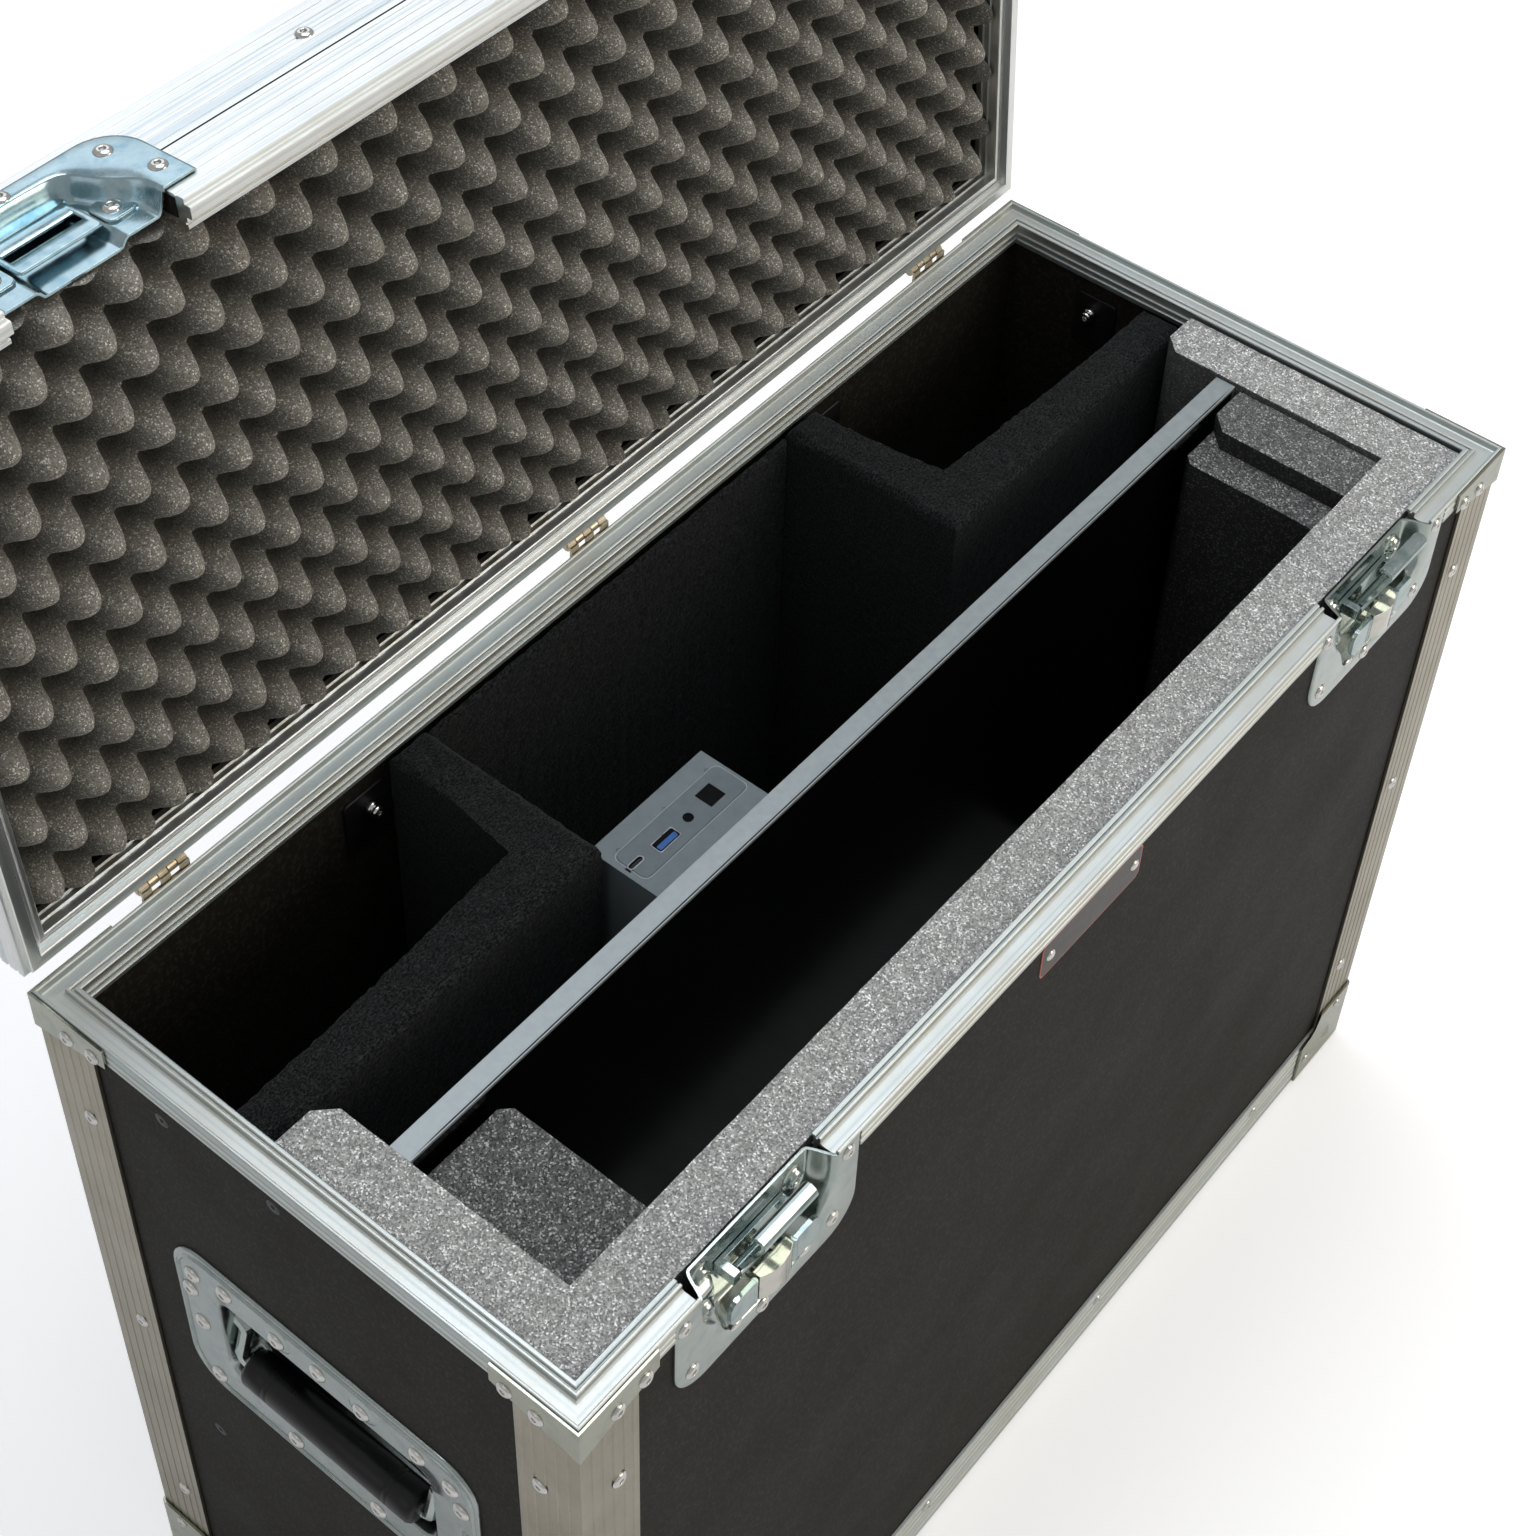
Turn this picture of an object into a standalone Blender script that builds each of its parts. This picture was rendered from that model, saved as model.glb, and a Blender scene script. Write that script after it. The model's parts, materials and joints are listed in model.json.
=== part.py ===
# Monitor flight case: plywood panels in aluminium edges, a lid that stands open on its hinges,
# recessed latches and handles, carpeted boxes, and foam that holds a monitor upright.
# Metres, +Z up. X runs along the case and -Y is the front. The origin is the centre of the
# underside of the bottom panel. The lid's pieces are drawn closed and turned open by their pivot.
import math

import bmesh
import bpy
from mathutils import Matrix, Vector

# Driving dimensions
monitor_width = 0.611
monitor_tall = 0.360
monitor_thick = 0.0115
end_room = 0.0445
case_depth = 0.305
base_height = 0.5016
lid_height = 0.064
lid_open_angle = math.radians(94)
panel_thickness = 0.009
fit_gap = 0.0003
weld_distance = 0.000003
overrun = 0.002

# Aluminium sections
skin = 0.0016
angle_leg = 0.034
bottom_leg = 0.036
groove_depth = 0.0004
groove_width = 0.0010
rim_outer_leg = 0.012
rim_inner_leg = 0.015
rim_inner_wall = 0.0033
rim_web_drop = 0.0052
rim_valley = 0.0036
rim_edge = 0.0004
rim_ridge = 0.0010
rim_slot = 0.0016
rib_reach = 0.0010
seam_gap = 0.0004
lid_rim_leg = 0.031
tongue_reach = 0.0028
tongue_clearance = 0.0010

# Pressed steel
sheet = 0.0015
brace_sheet = 0.0012

# Values that follow from those above
case_length = monitor_width + end_room * 2
monitor_half = monitor_width / 2
panel_inset = skin + fit_gap
inner_face = panel_inset + panel_thickness
rim_slot_side = inner_face + fit_gap
rim_width = rim_slot_side + rim_inner_wall
half_length = case_length / 2
half_depth = case_depth / 2
rim_z = base_height
lid_top_z = rim_z + lid_height


# Scene and collections

def emptied_scene():
    for old in list(bpy.data.objects):
        bpy.data.objects.remove(old, do_unlink=True)


def new_collection(name):
    group = bpy.data.collections.new(name)
    bpy.context.scene.collection.children.link(group)
    return group


emptied_scene()
case = new_collection("monitor_flight_case")
tools = new_collection("cutters")


def material(name, colour, metallic, roughness):
    made = bpy.data.materials.new(name)
    made.use_nodes = True
    shader = made.node_tree.nodes["Principled BSDF"]
    shader.inputs["Base Color"].default_value = (*colour, 1)
    shader.inputs["Metallic"].default_value = metallic
    shader.inputs["Roughness"].default_value = roughness
    return made


aluminium = material("anodised_aluminium", (0.62, 0.61, 0.58), 1.0, 0.38)
zinc_steel = material("zinc_plated_steel", (0.55, 0.62, 0.62), 1.0, 0.30)
panel_skin = material("black_panel_skin", (0.022, 0.021, 0.019), 0.0, 0.70)
black_carpet = material("black_carpet", (0.012, 0.012, 0.012), 0.0, 0.95)
grey_foam = material("grey_foam", (0.26, 0.26, 0.27), 0.0, 0.90)
dark_foam = material("convoluted_foam", (0.075, 0.070, 0.066), 0.0, 0.95)
grip_plastic = material("black_grip", (0.015, 0.015, 0.016), 0.0, 0.45)
monitor_metal = material("monitor_edge_metal", (0.16, 0.19, 0.22), 1.0, 0.40)
monitor_plastic = material("monitor_housing", (0.030, 0.032, 0.034), 0.0, 0.50)


# Mesh helpers

def frame_matrix(origin, x_axis, y_axis):
    # A matrix whose columns are two given directions, their cross product and a place.
    x_axis = Vector(x_axis)
    y_axis = Vector(y_axis)
    z_axis = x_axis.cross(y_axis)
    turned = Matrix((x_axis, y_axis, z_axis)).transposed().to_4x4()
    return Matrix.Translation(Vector(origin)) @ turned


def mesh_from(shape):
    bmesh.ops.recalc_face_normals(shape, faces=shape.faces)
    mesh = bpy.data.meshes.new("shape")
    shape.to_mesh(mesh)
    shape.free()
    return mesh


def box_mesh(low, high):
    low = Vector(low)
    high = Vector(high)
    shape = bmesh.new()
    bmesh.ops.create_cube(shape, size=1)
    size = Matrix.Diagonal((*(high - low), 1))
    bmesh.ops.transform(shape, matrix=Matrix.Translation((low + high) / 2) @ size, verts=shape.verts)
    return mesh_from(shape)


def disc_mesh(start, end, radius, sides=16):
    # A cylinder between two points.
    start = Vector(start)
    end = Vector(end)
    shape = bmesh.new()
    turn = (end - start).to_track_quat("Z", "Y").to_matrix().to_4x4()
    middle = Matrix.Translation((start + end) / 2) @ turn
    bmesh.ops.create_cone(shape, cap_ends=True, segments=sides, radius1=radius, radius2=radius,
                          depth=(end - start).length, matrix=middle)
    return mesh_from(shape)


def ball_mesh(center, radius, sides):
    shape = bmesh.new()
    bmesh.ops.create_uvsphere(shape, u_segments=sides, v_segments=sides // 2, radius=radius,
                              matrix=Matrix.Translation(Vector(center)))
    return mesh_from(shape)


def moved_mesh(mesh, matrix):
    copy = mesh.copy()
    copy.transform(matrix)
    if matrix.determinant() < 0:
        copy.flip_normals()
    return copy


def baked_mesh(holder):
    # The evaluated mesh of an object, with its loose caps welded, in the object's own frame.
    bpy.context.view_layer.update()
    graph = bpy.context.evaluated_depsgraph_get()
    mesh = bpy.data.meshes.new_from_object(holder.evaluated_get(graph))
    shape = bmesh.new()
    shape.from_mesh(mesh)
    bmesh.ops.remove_doubles(shape, verts=shape.verts, dist=weld_distance)
    return mesh_from(shape)


def outline_mesh(points, thickness, holes=()):
    # A flat outline in its own XY plane, with half its thickness on each side.
    curve = bpy.data.curves.new("outline", "CURVE")
    curve.dimensions = "2D"
    curve.fill_mode = "BOTH"
    curve.extrude = thickness / 2
    for ring in (points, *holes):
        spline = curve.splines.new("POLY")
        spline.points.add(len(ring) - 1)
        for point, (x, y) in zip(spline.points, ring):
            point.co = (x, y, 0, 1)
        spline.use_cyclic_u = True
    holder = bpy.data.objects.new("outline", curve)
    case.objects.link(holder)
    mesh = baked_mesh(holder)
    bpy.data.objects.remove(holder, do_unlink=True)
    bpy.data.curves.remove(curve)
    return mesh


def arc(center_x, center_y, radius, start, end, steps):
    # Points on an arc, with its angles in degrees.
    points = []
    for step in range(steps + 1):
        turn = math.radians(start + (end - start) * step / steps)
        points.append((center_x + radius * math.cos(turn), center_y + radius * math.sin(turn)))
    return points


def strip_outline(line, thickness):
    # The outline of a bent strip of even thickness along an open line.
    left = []
    right = []
    for index, point in enumerate(line):
        here = Vector(point)
        before = Vector(line[max(index - 1, 0)])
        after = Vector(line[min(index + 1, len(line) - 1)])
        along = (after - before).normalized()
        normal = Vector((-along.y, along.x)) * thickness / 2
        left.append(tuple(here + normal))
        right.append(tuple(here - normal))
    return left + right[::-1]


def rounded_rectangle(half_x, half_y, radius, steps=4):
    inner_x = half_x - radius
    inner_y = half_y - radius
    return (arc(inner_x, -inner_y, radius, -90, 0, steps) + arc(inner_x, inner_y, radius, 0, 90, steps)
            + arc(-inner_x, inner_y, radius, 90, 180, steps)
            + arc(-inner_x, -inner_y, radius, 180, 270, steps))


# Object helpers

def pivot(name, point, turn=0.0, parent=None):
    # An empty on a joint's axis. Its turn is about X, and its pieces are drawn unturned.
    empty = bpy.data.objects.new(name, None)
    empty.empty_display_size = angle_leg
    case.objects.link(empty)
    empty.location = point
    empty.rotation_euler = (turn, 0, 0)
    if parent is not None:
        empty.parent = parent
        empty.matrix_parent_inverse = Matrix.Translation(-Vector(parent["drawn_at"]))
    empty["drawn_at"] = tuple(point)
    return empty


def place(made, parent, matrix):
    if parent is not None:
        made.parent = parent
        made.matrix_parent_inverse = Matrix.Translation(-Vector(parent["drawn_at"]))
    made.matrix_basis = matrix
    return made


def piece(name, mesh, finish, parent=None, matrix=Matrix(), round_off=False):
    mesh.name = name
    mesh.materials.clear()
    mesh.materials.append(finish)
    if round_off:
        mesh.shade_smooth()
        mesh.set_sharp_from_angle(angle=math.radians(35))
    made = bpy.data.objects.new(name, mesh)
    case.objects.link(made)
    return place(made, parent, matrix)


def boolean(target, mesh, operation="DIFFERENCE", matrix=Matrix()):
    # The tool is drawn in the same frame as the piece that it shapes.
    tool = bpy.data.objects.new(target.name + "_tool", mesh)
    tools.objects.link(tool)
    tool.hide_render = True
    tool.display_type = "WIRE"
    place(tool, target.parent, matrix)
    step = target.modifiers.new(operation.lower(), "BOOLEAN")
    step.operation = operation
    step.solver = "EXACT"
    step.object = tool


def shaped_mesh(mesh, changes):
    # The mesh after a list of (operation, tool mesh) steps, for a shape that is then copied.
    holder = bpy.data.objects.new("holder", mesh)
    case.objects.link(holder)
    for operation, tool_mesh in changes:
        boolean(holder, tool_mesh, operation)
    result = baked_mesh(holder)
    for step in list(holder.modifiers):
        bpy.data.objects.remove(step.object, do_unlink=True)
    bpy.data.objects.remove(holder, do_unlink=True)
    return result


# The four sides: a place on the outer edge line, the way inward, and the half span
side_names = ("front", "rear", "left", "right")
side_inward = {"front": (0, 1, 0), "rear": (0, -1, 0), "left": (1, 0, 0), "right": (-1, 0, 0)}
side_half = {"front": half_length, "rear": half_length, "left": half_depth, "right": half_depth}
side_reach = {"front": half_depth, "rear": half_depth, "left": half_length, "right": half_length}


def side_frame(side, z):
    # Local x runs inward from the outer face, y up and z along the side.
    inward = Vector(side_inward[side])
    return frame_matrix(-inward * side_reach[side] + Vector((0, 0, z)), inward, (0, 0, 1))


def rail_mesh(outline, low, high, mitre_low=True, mitre_high=True):
    # A section pushed along a side from low to high, with mitred or square ends.
    mesh = outline_mesh(outline, high - low)
    shift = (low + high) / 2
    for vertex in mesh.vertices:
        if vertex.co.z > 0 and mitre_high:
            vertex.co.z -= vertex.co.x + fit_gap
        elif vertex.co.z < 0 and mitre_low:
            vertex.co.z += vertex.co.x + fit_gap
        vertex.co.z += shift
    return mesh


def groove_points(centres, across):
    # Grooves in a face at zero, walked from the first centre to the last.
    points = []
    way = 1 if centres[-1] > centres[0] else -1
    half = groove_width / 2
    for centre in centres:
        for depth, reach in ((0, -half - groove_depth), (groove_depth, -half),
                             (groove_depth, half), (0, half + groove_depth)):
            run = centre + way * reach
            points.append((depth, run) if across else (run, depth))
    return points


# Sections, each as (inward, up) from the outer edge

base_leg_groove_shares = (0.75, 0.40)
angle_groove_shares = (0.18, 0.36, 0.54, 0.72, 0.88)
lid_groove_shares = (0.88, 0.70, 0.52, 0.34, 0.16)
rib_height_shares = (0.46, 0.73)


def inner_leg_points(sign, base):
    # The inside leg of a rim section with its two thin ribs, walked away from the rim plane.
    wall = rim_width - rim_ridge - rim_edge
    points = [(rim_width - rim_edge, base), (rim_width, base + sign * rim_edge),
              (rim_width, base + sign * rim_ridge), (wall, base + sign * (rim_ridge + rib_reach))]
    for share in rib_height_shares:
        level = base + sign * rim_inner_leg * share
        points.append((wall, level - sign * groove_depth))
        points.append((wall + rib_reach, level))
        points.append((wall, level + sign * groove_depth))
    points.append((wall, base + sign * (rim_inner_leg - rim_edge)))
    points.append((wall - rim_edge, base + sign * rim_inner_leg))
    points.append((rim_slot_side, base + sign * rim_inner_leg))
    return points


def base_rim_outline():
    slot_low = rim_slot_side
    slot_high = rim_slot_side + rim_ridge
    valley_low = skin + rim_ridge
    valley_high = rim_slot_side - rim_ridge - rim_slot
    centres = [-rim_outer_leg * share for share in base_leg_groove_shares]
    outline = [(skin, -rim_outer_leg), (0, -rim_outer_leg)]
    outline += groove_points(centres, True)
    outline += [(0, -rim_edge), (rim_edge, 0), (skin - rim_edge, 0), (skin, -rim_edge)]
    outline += [(skin + rim_edge, -rim_valley + rim_edge), (valley_low, -rim_valley)]
    outline += [(valley_high, -rim_valley), (valley_high + rim_ridge, -rim_valley + rim_edge)]
    outline += [(valley_high + rim_ridge, -rim_edge), (valley_high + rim_ridge + rim_edge, 0)]
    outline += [(slot_low - rim_edge, 0), (slot_low, -rim_edge), (slot_low, -rim_slot)]
    outline += [(slot_high, -rim_slot), (slot_high, -rim_edge), (slot_high + rim_edge, 0)]
    outline += inner_leg_points(-1, 0)
    outline += [(rim_slot_side, -rim_web_drop), (skin, -rim_web_drop)]
    return outline


def lid_rim_outline():
    # Drawn for the closed lid, from the rim plane up. The tongue drops into the base's valley.
    slot_low = rim_slot_side
    slot_high = rim_slot_side + rim_ridge
    tongue_low = skin + tongue_clearance
    tongue_high = rim_slot_side - rim_slot - tongue_clearance
    outline = [(skin, lid_rim_leg), (skin, rim_web_drop), (rim_slot_side, rim_web_drop)]
    inner = inner_leg_points(1, seam_gap)
    outline += inner[::-1]
    outline += [(slot_high, seam_gap), (slot_high, rim_slot), (slot_low, rim_slot), (slot_low, seam_gap)]
    outline += [(tongue_high, seam_gap), (tongue_high, -tongue_reach + rim_edge)]
    outline += [(tongue_high - rim_edge, -tongue_reach), (tongue_low + rim_edge, -tongue_reach)]
    outline += [(tongue_low, -tongue_reach + rim_edge), (tongue_low, seam_gap)]
    outline += [(rim_edge, seam_gap), (0, seam_gap + rim_edge)]
    centres = [lid_rim_leg * share for share in lid_groove_shares[::-1]]
    outline += groove_points(centres, True)
    outline += [(0, lid_rim_leg)]
    return outline[::-1]


def angle_outline(leg_across, leg_up, sign=1):
    # An L section with grooves on both outer faces. A sign of -1 hangs the upright leg down.
    across = [leg_across * share for share in angle_groove_shares]
    upward = [leg_up * share for share in angle_groove_shares]
    outline = [(0, 0)] + groove_points(across, False) + [(leg_across, 0), (leg_across, skin)]
    outline += [(skin, skin), (skin, leg_up), (0, leg_up)] + groove_points(upward[::-1], True)
    return [(u, v * sign) for u, v in outline]


# Panels. The bottom lies inside the four walls, whose upper edges sit in the rim's channel.

wall_top = rim_z - rim_web_drop - fit_gap
wall_low = 0.0
outer_x = half_length - panel_inset
outer_y = half_depth - panel_inset
inner_x = half_length - inner_face
inner_y = half_depth - inner_face
floor_top = panel_thickness

bottom_panel = piece("bottom_panel", box_mesh((-inner_x + fit_gap, -inner_y + fit_gap, wall_low),
                                              (inner_x - fit_gap, inner_y - fit_gap, floor_top)),
                     panel_skin)
front_panel = piece("front_panel", box_mesh((-outer_x, -outer_y, wall_low),
                                            (outer_x, -inner_y, wall_top)), panel_skin)
rear_panel = piece("rear_panel", box_mesh((-outer_x, inner_y, wall_low),
                                          (outer_x, outer_y, wall_top)), panel_skin)
left_panel = piece("left_panel", box_mesh((-outer_x, -inner_y + fit_gap, wall_low),
                                          (-inner_x, inner_y - fit_gap, wall_top)), panel_skin)
right_panel = piece("right_panel", box_mesh((inner_x, -inner_y + fit_gap, wall_low),
                                            (outer_x, inner_y - fit_gap, wall_top)), panel_skin)

# Latches: where they sit and the dish pressed for each
latch_inset = 0.1135
latch_centre = half_length - latch_inset
latch_flange_half = 0.0575
latch_flange_drop = 0.0615
latch_flange_radius = 0.018
latch_top_drop = 0.0015
pan_half = 0.0425
pan_drop = 0.053
pan_depth = 0.012
pan_side_shares = ((1.0, 0.0), (1.0, 0.34), (0.96, 0.46), (0.85, 0.58), (0.74, 0.70), (0.67, 0.84),
                   (0.60, 0.94), (0.46, 1.0))
latch_xs = (-latch_centre, latch_centre)
latch_sides = ("left", "right")
flange_front = half_depth - panel_inset + fit_gap + sheet
pan_floor = flange_front - pan_depth


def pan_outline(half, drop, reach):
    # The recess seen from the front, open at the top, which runs on by the given reach.
    right = [(half * wide, -drop * down) for wide, down in pan_side_shares]
    right[0] = (right[0][0], reach)
    return [(-x, z) for x, z in right] + right[::-1]


def front_prism(outline, front, back, x=0.0, z=0.0):
    # An outline in the XZ plane between two depths, both counted from the case's middle.
    mesh = outline_mesh(outline, front - back)
    stand = frame_matrix((x, -(front + back) / 2, z), (1, 0, 0), (0, 0, 1))
    return moved_mesh(mesh, stand)


def cut_front_pan(target, x, z, half, drop, back, upward=1):
    # Clears a wall, rim or foam for a pan and the gap round it.
    outline = pan_outline(half + fit_gap, drop + fit_gap, overrun * 10)
    outline = [(u, v * upward) for u, v in outline]
    boolean(target, front_prism(outline, half_depth + overrun, back, x, z))


# Frames and lengths of section round the case

def capless_rail(outline, side):
    # A mitred length of section with open ends, ready to be welded to its neighbours.
    half = side_half[side]
    shape = bmesh.new()
    shape.from_mesh(outline_mesh(outline, half * 2))
    ends = [face for face in shape.faces if all(v.co.z > 0 for v in face.verts)
            or all(v.co.z < 0 for v in face.verts)]
    bmesh.ops.delete(shape, geom=ends, context="FACES_ONLY")
    for vertex in shape.verts:
        vertex.co.z -= math.copysign(vertex.co.x, vertex.co.z)
    mesh = bpy.data.meshes.new("rail")
    shape.to_mesh(mesh)
    shape.free()
    return mesh


def ring_mesh(outline, z):
    # One section carried round all four sides, with mitred corners.
    rails = [moved_mesh(capless_rail(outline, side), side_frame(side, z)) for side in side_names]
    shape = bmesh.new()
    for rail in rails:
        shape.from_mesh(rail)
    bmesh.ops.remove_doubles(shape, verts=shape.verts, dist=weld_distance * 10)
    return mesh_from(shape)


def front_gap_box(half, low, high):
    return box_mesh((-half, -half_depth - overrun, low), (half, -half_depth + rim_width + overrun, high))


# Base rim: one mitred length round the ends and rear, and a length between the latches

dish_z = rim_z - latch_top_drop
rim_cut_outer = latch_centre + pan_half + fit_gap
rim_cut_inner = latch_centre - pan_half - fit_gap
base_section = base_rim_outline()
base_rim = piece("base_rim", ring_mesh(base_section, rim_z), aluminium)
boolean(base_rim, front_gap_box(rim_cut_outer, rim_z - rim_inner_leg - overrun, rim_z + overrun))
base_rim_front = piece("base_rim_front", rail_mesh(base_section, -rim_cut_inner, rim_cut_inner, False, False),
                       aluminium, matrix=side_frame("front", rim_z))
for latch_x in latch_xs:
    low = Vector((latch_x - latch_flange_half - fit_gap, -half_depth - overrun,
                  rim_z - rim_outer_leg - overrun))
    high = Vector((latch_x + latch_flange_half + fit_gap, -half_depth + panel_inset, dish_z + fit_gap))
    boolean(base_rim, box_mesh(low, high))
    boolean(base_rim_front, box_mesh(low, high))

# Upright edge angles stand between the bottom angles and the rim

post_names = ("front_left_post", "front_right_post", "rear_right_post", "rear_left_post")
corner_turns = (0, 90, 180, 270)
post_low = bottom_leg - panel_inset + fit_gap
post_high = rim_z - rim_outer_leg - fit_gap


def corner_frame(turn, z):
    # At an outer corner, local x and y run inward along its two faces and z runs up.
    turn = math.radians(turn)
    first = Vector((round(math.cos(turn)), round(math.sin(turn)), 0))
    second = Vector((-first.y, first.x, 0))
    both = first + second
    return frame_matrix((-both.x * half_length, -both.y * half_depth, z), first, second)


for name, turn in zip(post_names, corner_turns):
    mesh = outline_mesh(angle_outline(angle_leg, angle_leg), post_high - post_low)
    piece(name, mesh, aluminium, matrix=corner_frame(turn, (post_low + post_high) / 2))

bottom_edges = piece("bottom_edges", ring_mesh(angle_outline(angle_leg, bottom_leg), -panel_inset),
                     aluminium)

# Braces wrap the rim's corners, deepest at the corner
brace_leg = 0.0445
brace_drop = 0.023
brace_end_drop = 0.0130
brace_top_drop = 0.0008
brace_names = [name.replace("post", "brace") for name in post_names]


def brace_mesh():
    near = -fit_gap - brace_sheet
    outline = [(near, near), (brace_leg, near), (brace_leg, -fit_gap), (-fit_gap, -fit_gap),
               (-fit_gap, brace_leg), (near, brace_leg)]
    mesh = outline_mesh(outline, brace_drop - brace_top_drop)
    for vertex in mesh.vertices:
        if vertex.co.z < 0:
            far = max(vertex.co.x, vertex.co.y)
            slant = (brace_drop - brace_end_drop) * max(far, 0) / brace_leg
            vertex.co.z += slant
    return mesh


for name, turn in zip(brace_names, corner_turns):
    piece(name, brace_mesh(), zinc_steel,
          matrix=corner_frame(turn, rim_z - (brace_drop + brace_top_drop) / 2))

# Ball corners: pressed shells over three edges, with pointed ears and a bulging middle
ball_leg = 0.050
ball_edge_radius = 0.0026
ball_center = 0.017
ball_proud = 0.0012
ball_foot_cut = 0.0006
edge_profile_share = 0.5
ball_cut_center = 0.0565
ball_cut_radius = 0.0640
lid_ball_leg = 0.0310
lid_ball_cut_center = 0.0370
lid_ball_cut_radius = 0.0430
ball_names = [name.replace("post", "ball_corner") for name in post_names]


def ball_corner_mesh(leg, cut_center, cut_radius, inside):
    # The shell over three edges. Its third side, which is the foot of a base corner, is cut flat.
    outer = -fit_gap - sheet
    shape = bmesh.new()
    bmesh.ops.create_cube(shape, size=1)
    size = leg - outer
    bmesh.ops.transform(shape, matrix=Matrix.Translation(Vector((1, 1, 1)) * (outer + size / 2))
                        @ Matrix.Scale(size, 4), verts=shape.verts)
    near = [edge for edge in shape.edges
            if sum(min(a, b) > size / 2 for a, b in zip(edge.verts[0].co, edge.verts[1].co)) == 0]
    bmesh.ops.bevel(shape, geom=near, offset=ball_edge_radius, segments=3, affect="EDGES",
                    profile=edge_profile_share)
    block = mesh_from(shape)
    middle = Vector((1, 1, 1)) * ball_center
    bulge = ball_mesh(middle, ball_center - outer + ball_proud, 20)
    hollow_end = leg + overrun * 10
    hollow = box_mesh((inside,) * 3, (hollow_end,) * 3)
    scoop = ball_mesh(Vector((1, 1, 1)) * cut_center, cut_radius, 24)
    foot = outer - ball_proud + ball_foot_cut
    below = box_mesh((-leg, -leg, foot - leg), (leg, leg, foot))
    return shaped_mesh(block, [("UNION", bulge), ("DIFFERENCE", hollow), ("DIFFERENCE", scoop),
                               ("DIFFERENCE", below)])


base_ball = ball_corner_mesh(ball_leg, ball_cut_center, ball_cut_radius, -fit_gap)
for name, turn in zip(ball_names, corner_turns):
    piece(name, base_ball.copy(), zinc_steel, matrix=corner_frame(turn, -panel_inset), round_off=True)

# Latch dishes, hubs, wings, slides and hooks
latch_turn_drop = 0.031
hub_foot_radius = 0.0045
hub_radius = 0.0085
hub_sides = 20
hub_drum_half = 0.0105
hub_drum_tall = 0.0085
hub_drum_bulge = 0.0030
wing_gap = 0.0012
wing_sheet = 0.0022
wing_length = 0.0280
wing_half_tall = 0.0080
wing_corner = 0.0050
wing_barrel = 0.0016
wing_clearance = 0.0005
slide_half = 0.0150
slide_sheet = 0.0020
slide_low_drop = 0.0240
hook_pin_drop = 0.018
hook_pin_radius = 0.0013
hook_lean = math.radians(24)
hook_half = 0.0165
hook_sheet = 0.0020
hook_reach = 0.0308
hook_curl_radius = 0.0030
hook_curl_end = 0
hook_depth = 0.0040
slide_travel = 0.0160
slide_ear_half = 0.0210

hook_y = -pan_floor - hook_depth - hook_sheet * 2
wing_root = hub_drum_half + wing_clearance + wing_barrel
pan_inner = pan_outline(pan_half - sheet, pan_drop - latch_top_drop - sheet, overrun)
pan_outer = pan_outline(pan_half, pan_drop - latch_top_drop, 0)


def flange_outline(half, drop, radius):
    low = -drop + radius
    return (arc(-half + radius, low, radius, 180, 270, 5) + arc(half - radius, low, radius, 270, 360, 5)
            + [(half, 0), (-half, 0)])


def latch_dish(name, x):
    flange = flange_outline(latch_flange_half, latch_flange_drop - latch_top_drop, latch_flange_radius)
    dish = piece(name, front_prism(flange, flange_front, flange_front - sheet, x, dish_z), zinc_steel)
    boolean(dish, front_prism(pan_outer, flange_front - sheet / 2, pan_floor - sheet, x, dish_z), "UNION")
    boolean(dish, front_prism(pan_inner, flange_front + overrun, pan_floor, x, dish_z))


def drum_outline(deep):
    # Seen from above, with the case at the bottom: straight sides and a bulging front.
    radius = (hub_drum_half ** 2 + hub_drum_bulge ** 2) / hub_drum_bulge / 2
    half_turn = math.degrees(math.asin(hub_drum_half / radius))
    front = arc(0, hub_drum_bulge - radius, radius, 90 - half_turn, 90 + half_turn, 8)
    return [(-hub_drum_half, -deep), (hub_drum_half, -deep)] + front


def latch_hub(name, x, parent):
    # A foot on the pan floor, a head behind the wings, and the bulging drum that carries the wing pins.
    z = rim_z - latch_turn_drop
    foot = -pan_floor - fit_gap
    head_back = -pan_floor - hook_depth - hook_sheet
    head_front = -flange_front + fit_gap
    drum_side = -flange_front - wing_gap - wing_sheet
    hub = piece(name, disc_mesh((x, foot, z), (x, head_back - overrun, z), hub_foot_radius,
                                sides=hub_sides), zinc_steel, parent)
    boolean(hub, disc_mesh((x, head_back, z), (x, head_front, z), hub_radius, sides=hub_sides), "UNION")
    stand = frame_matrix((x, drum_side, z), (1, 0, 0), (0, -1, 0))
    drum = outline_mesh(drum_outline(head_front + fit_gap - drum_side), hub_drum_tall * 2)
    boolean(hub, moved_mesh(drum, stand), "UNION")


def wing_outline(sign):
    # Seen from the front: straight at the barrel, round at the free corners.
    low = -wing_half_tall
    tip = wing_length - wing_corner
    points = [(wing_root, low)] + arc(tip, low + wing_corner, wing_corner, -90, 0, 4)
    points += arc(tip, -low - wing_corner, wing_corner, 0, 90, 4) + [(wing_root, -low)]
    return points if sign > 0 else [(-u, v) for u, v in points[::-1]]


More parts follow.
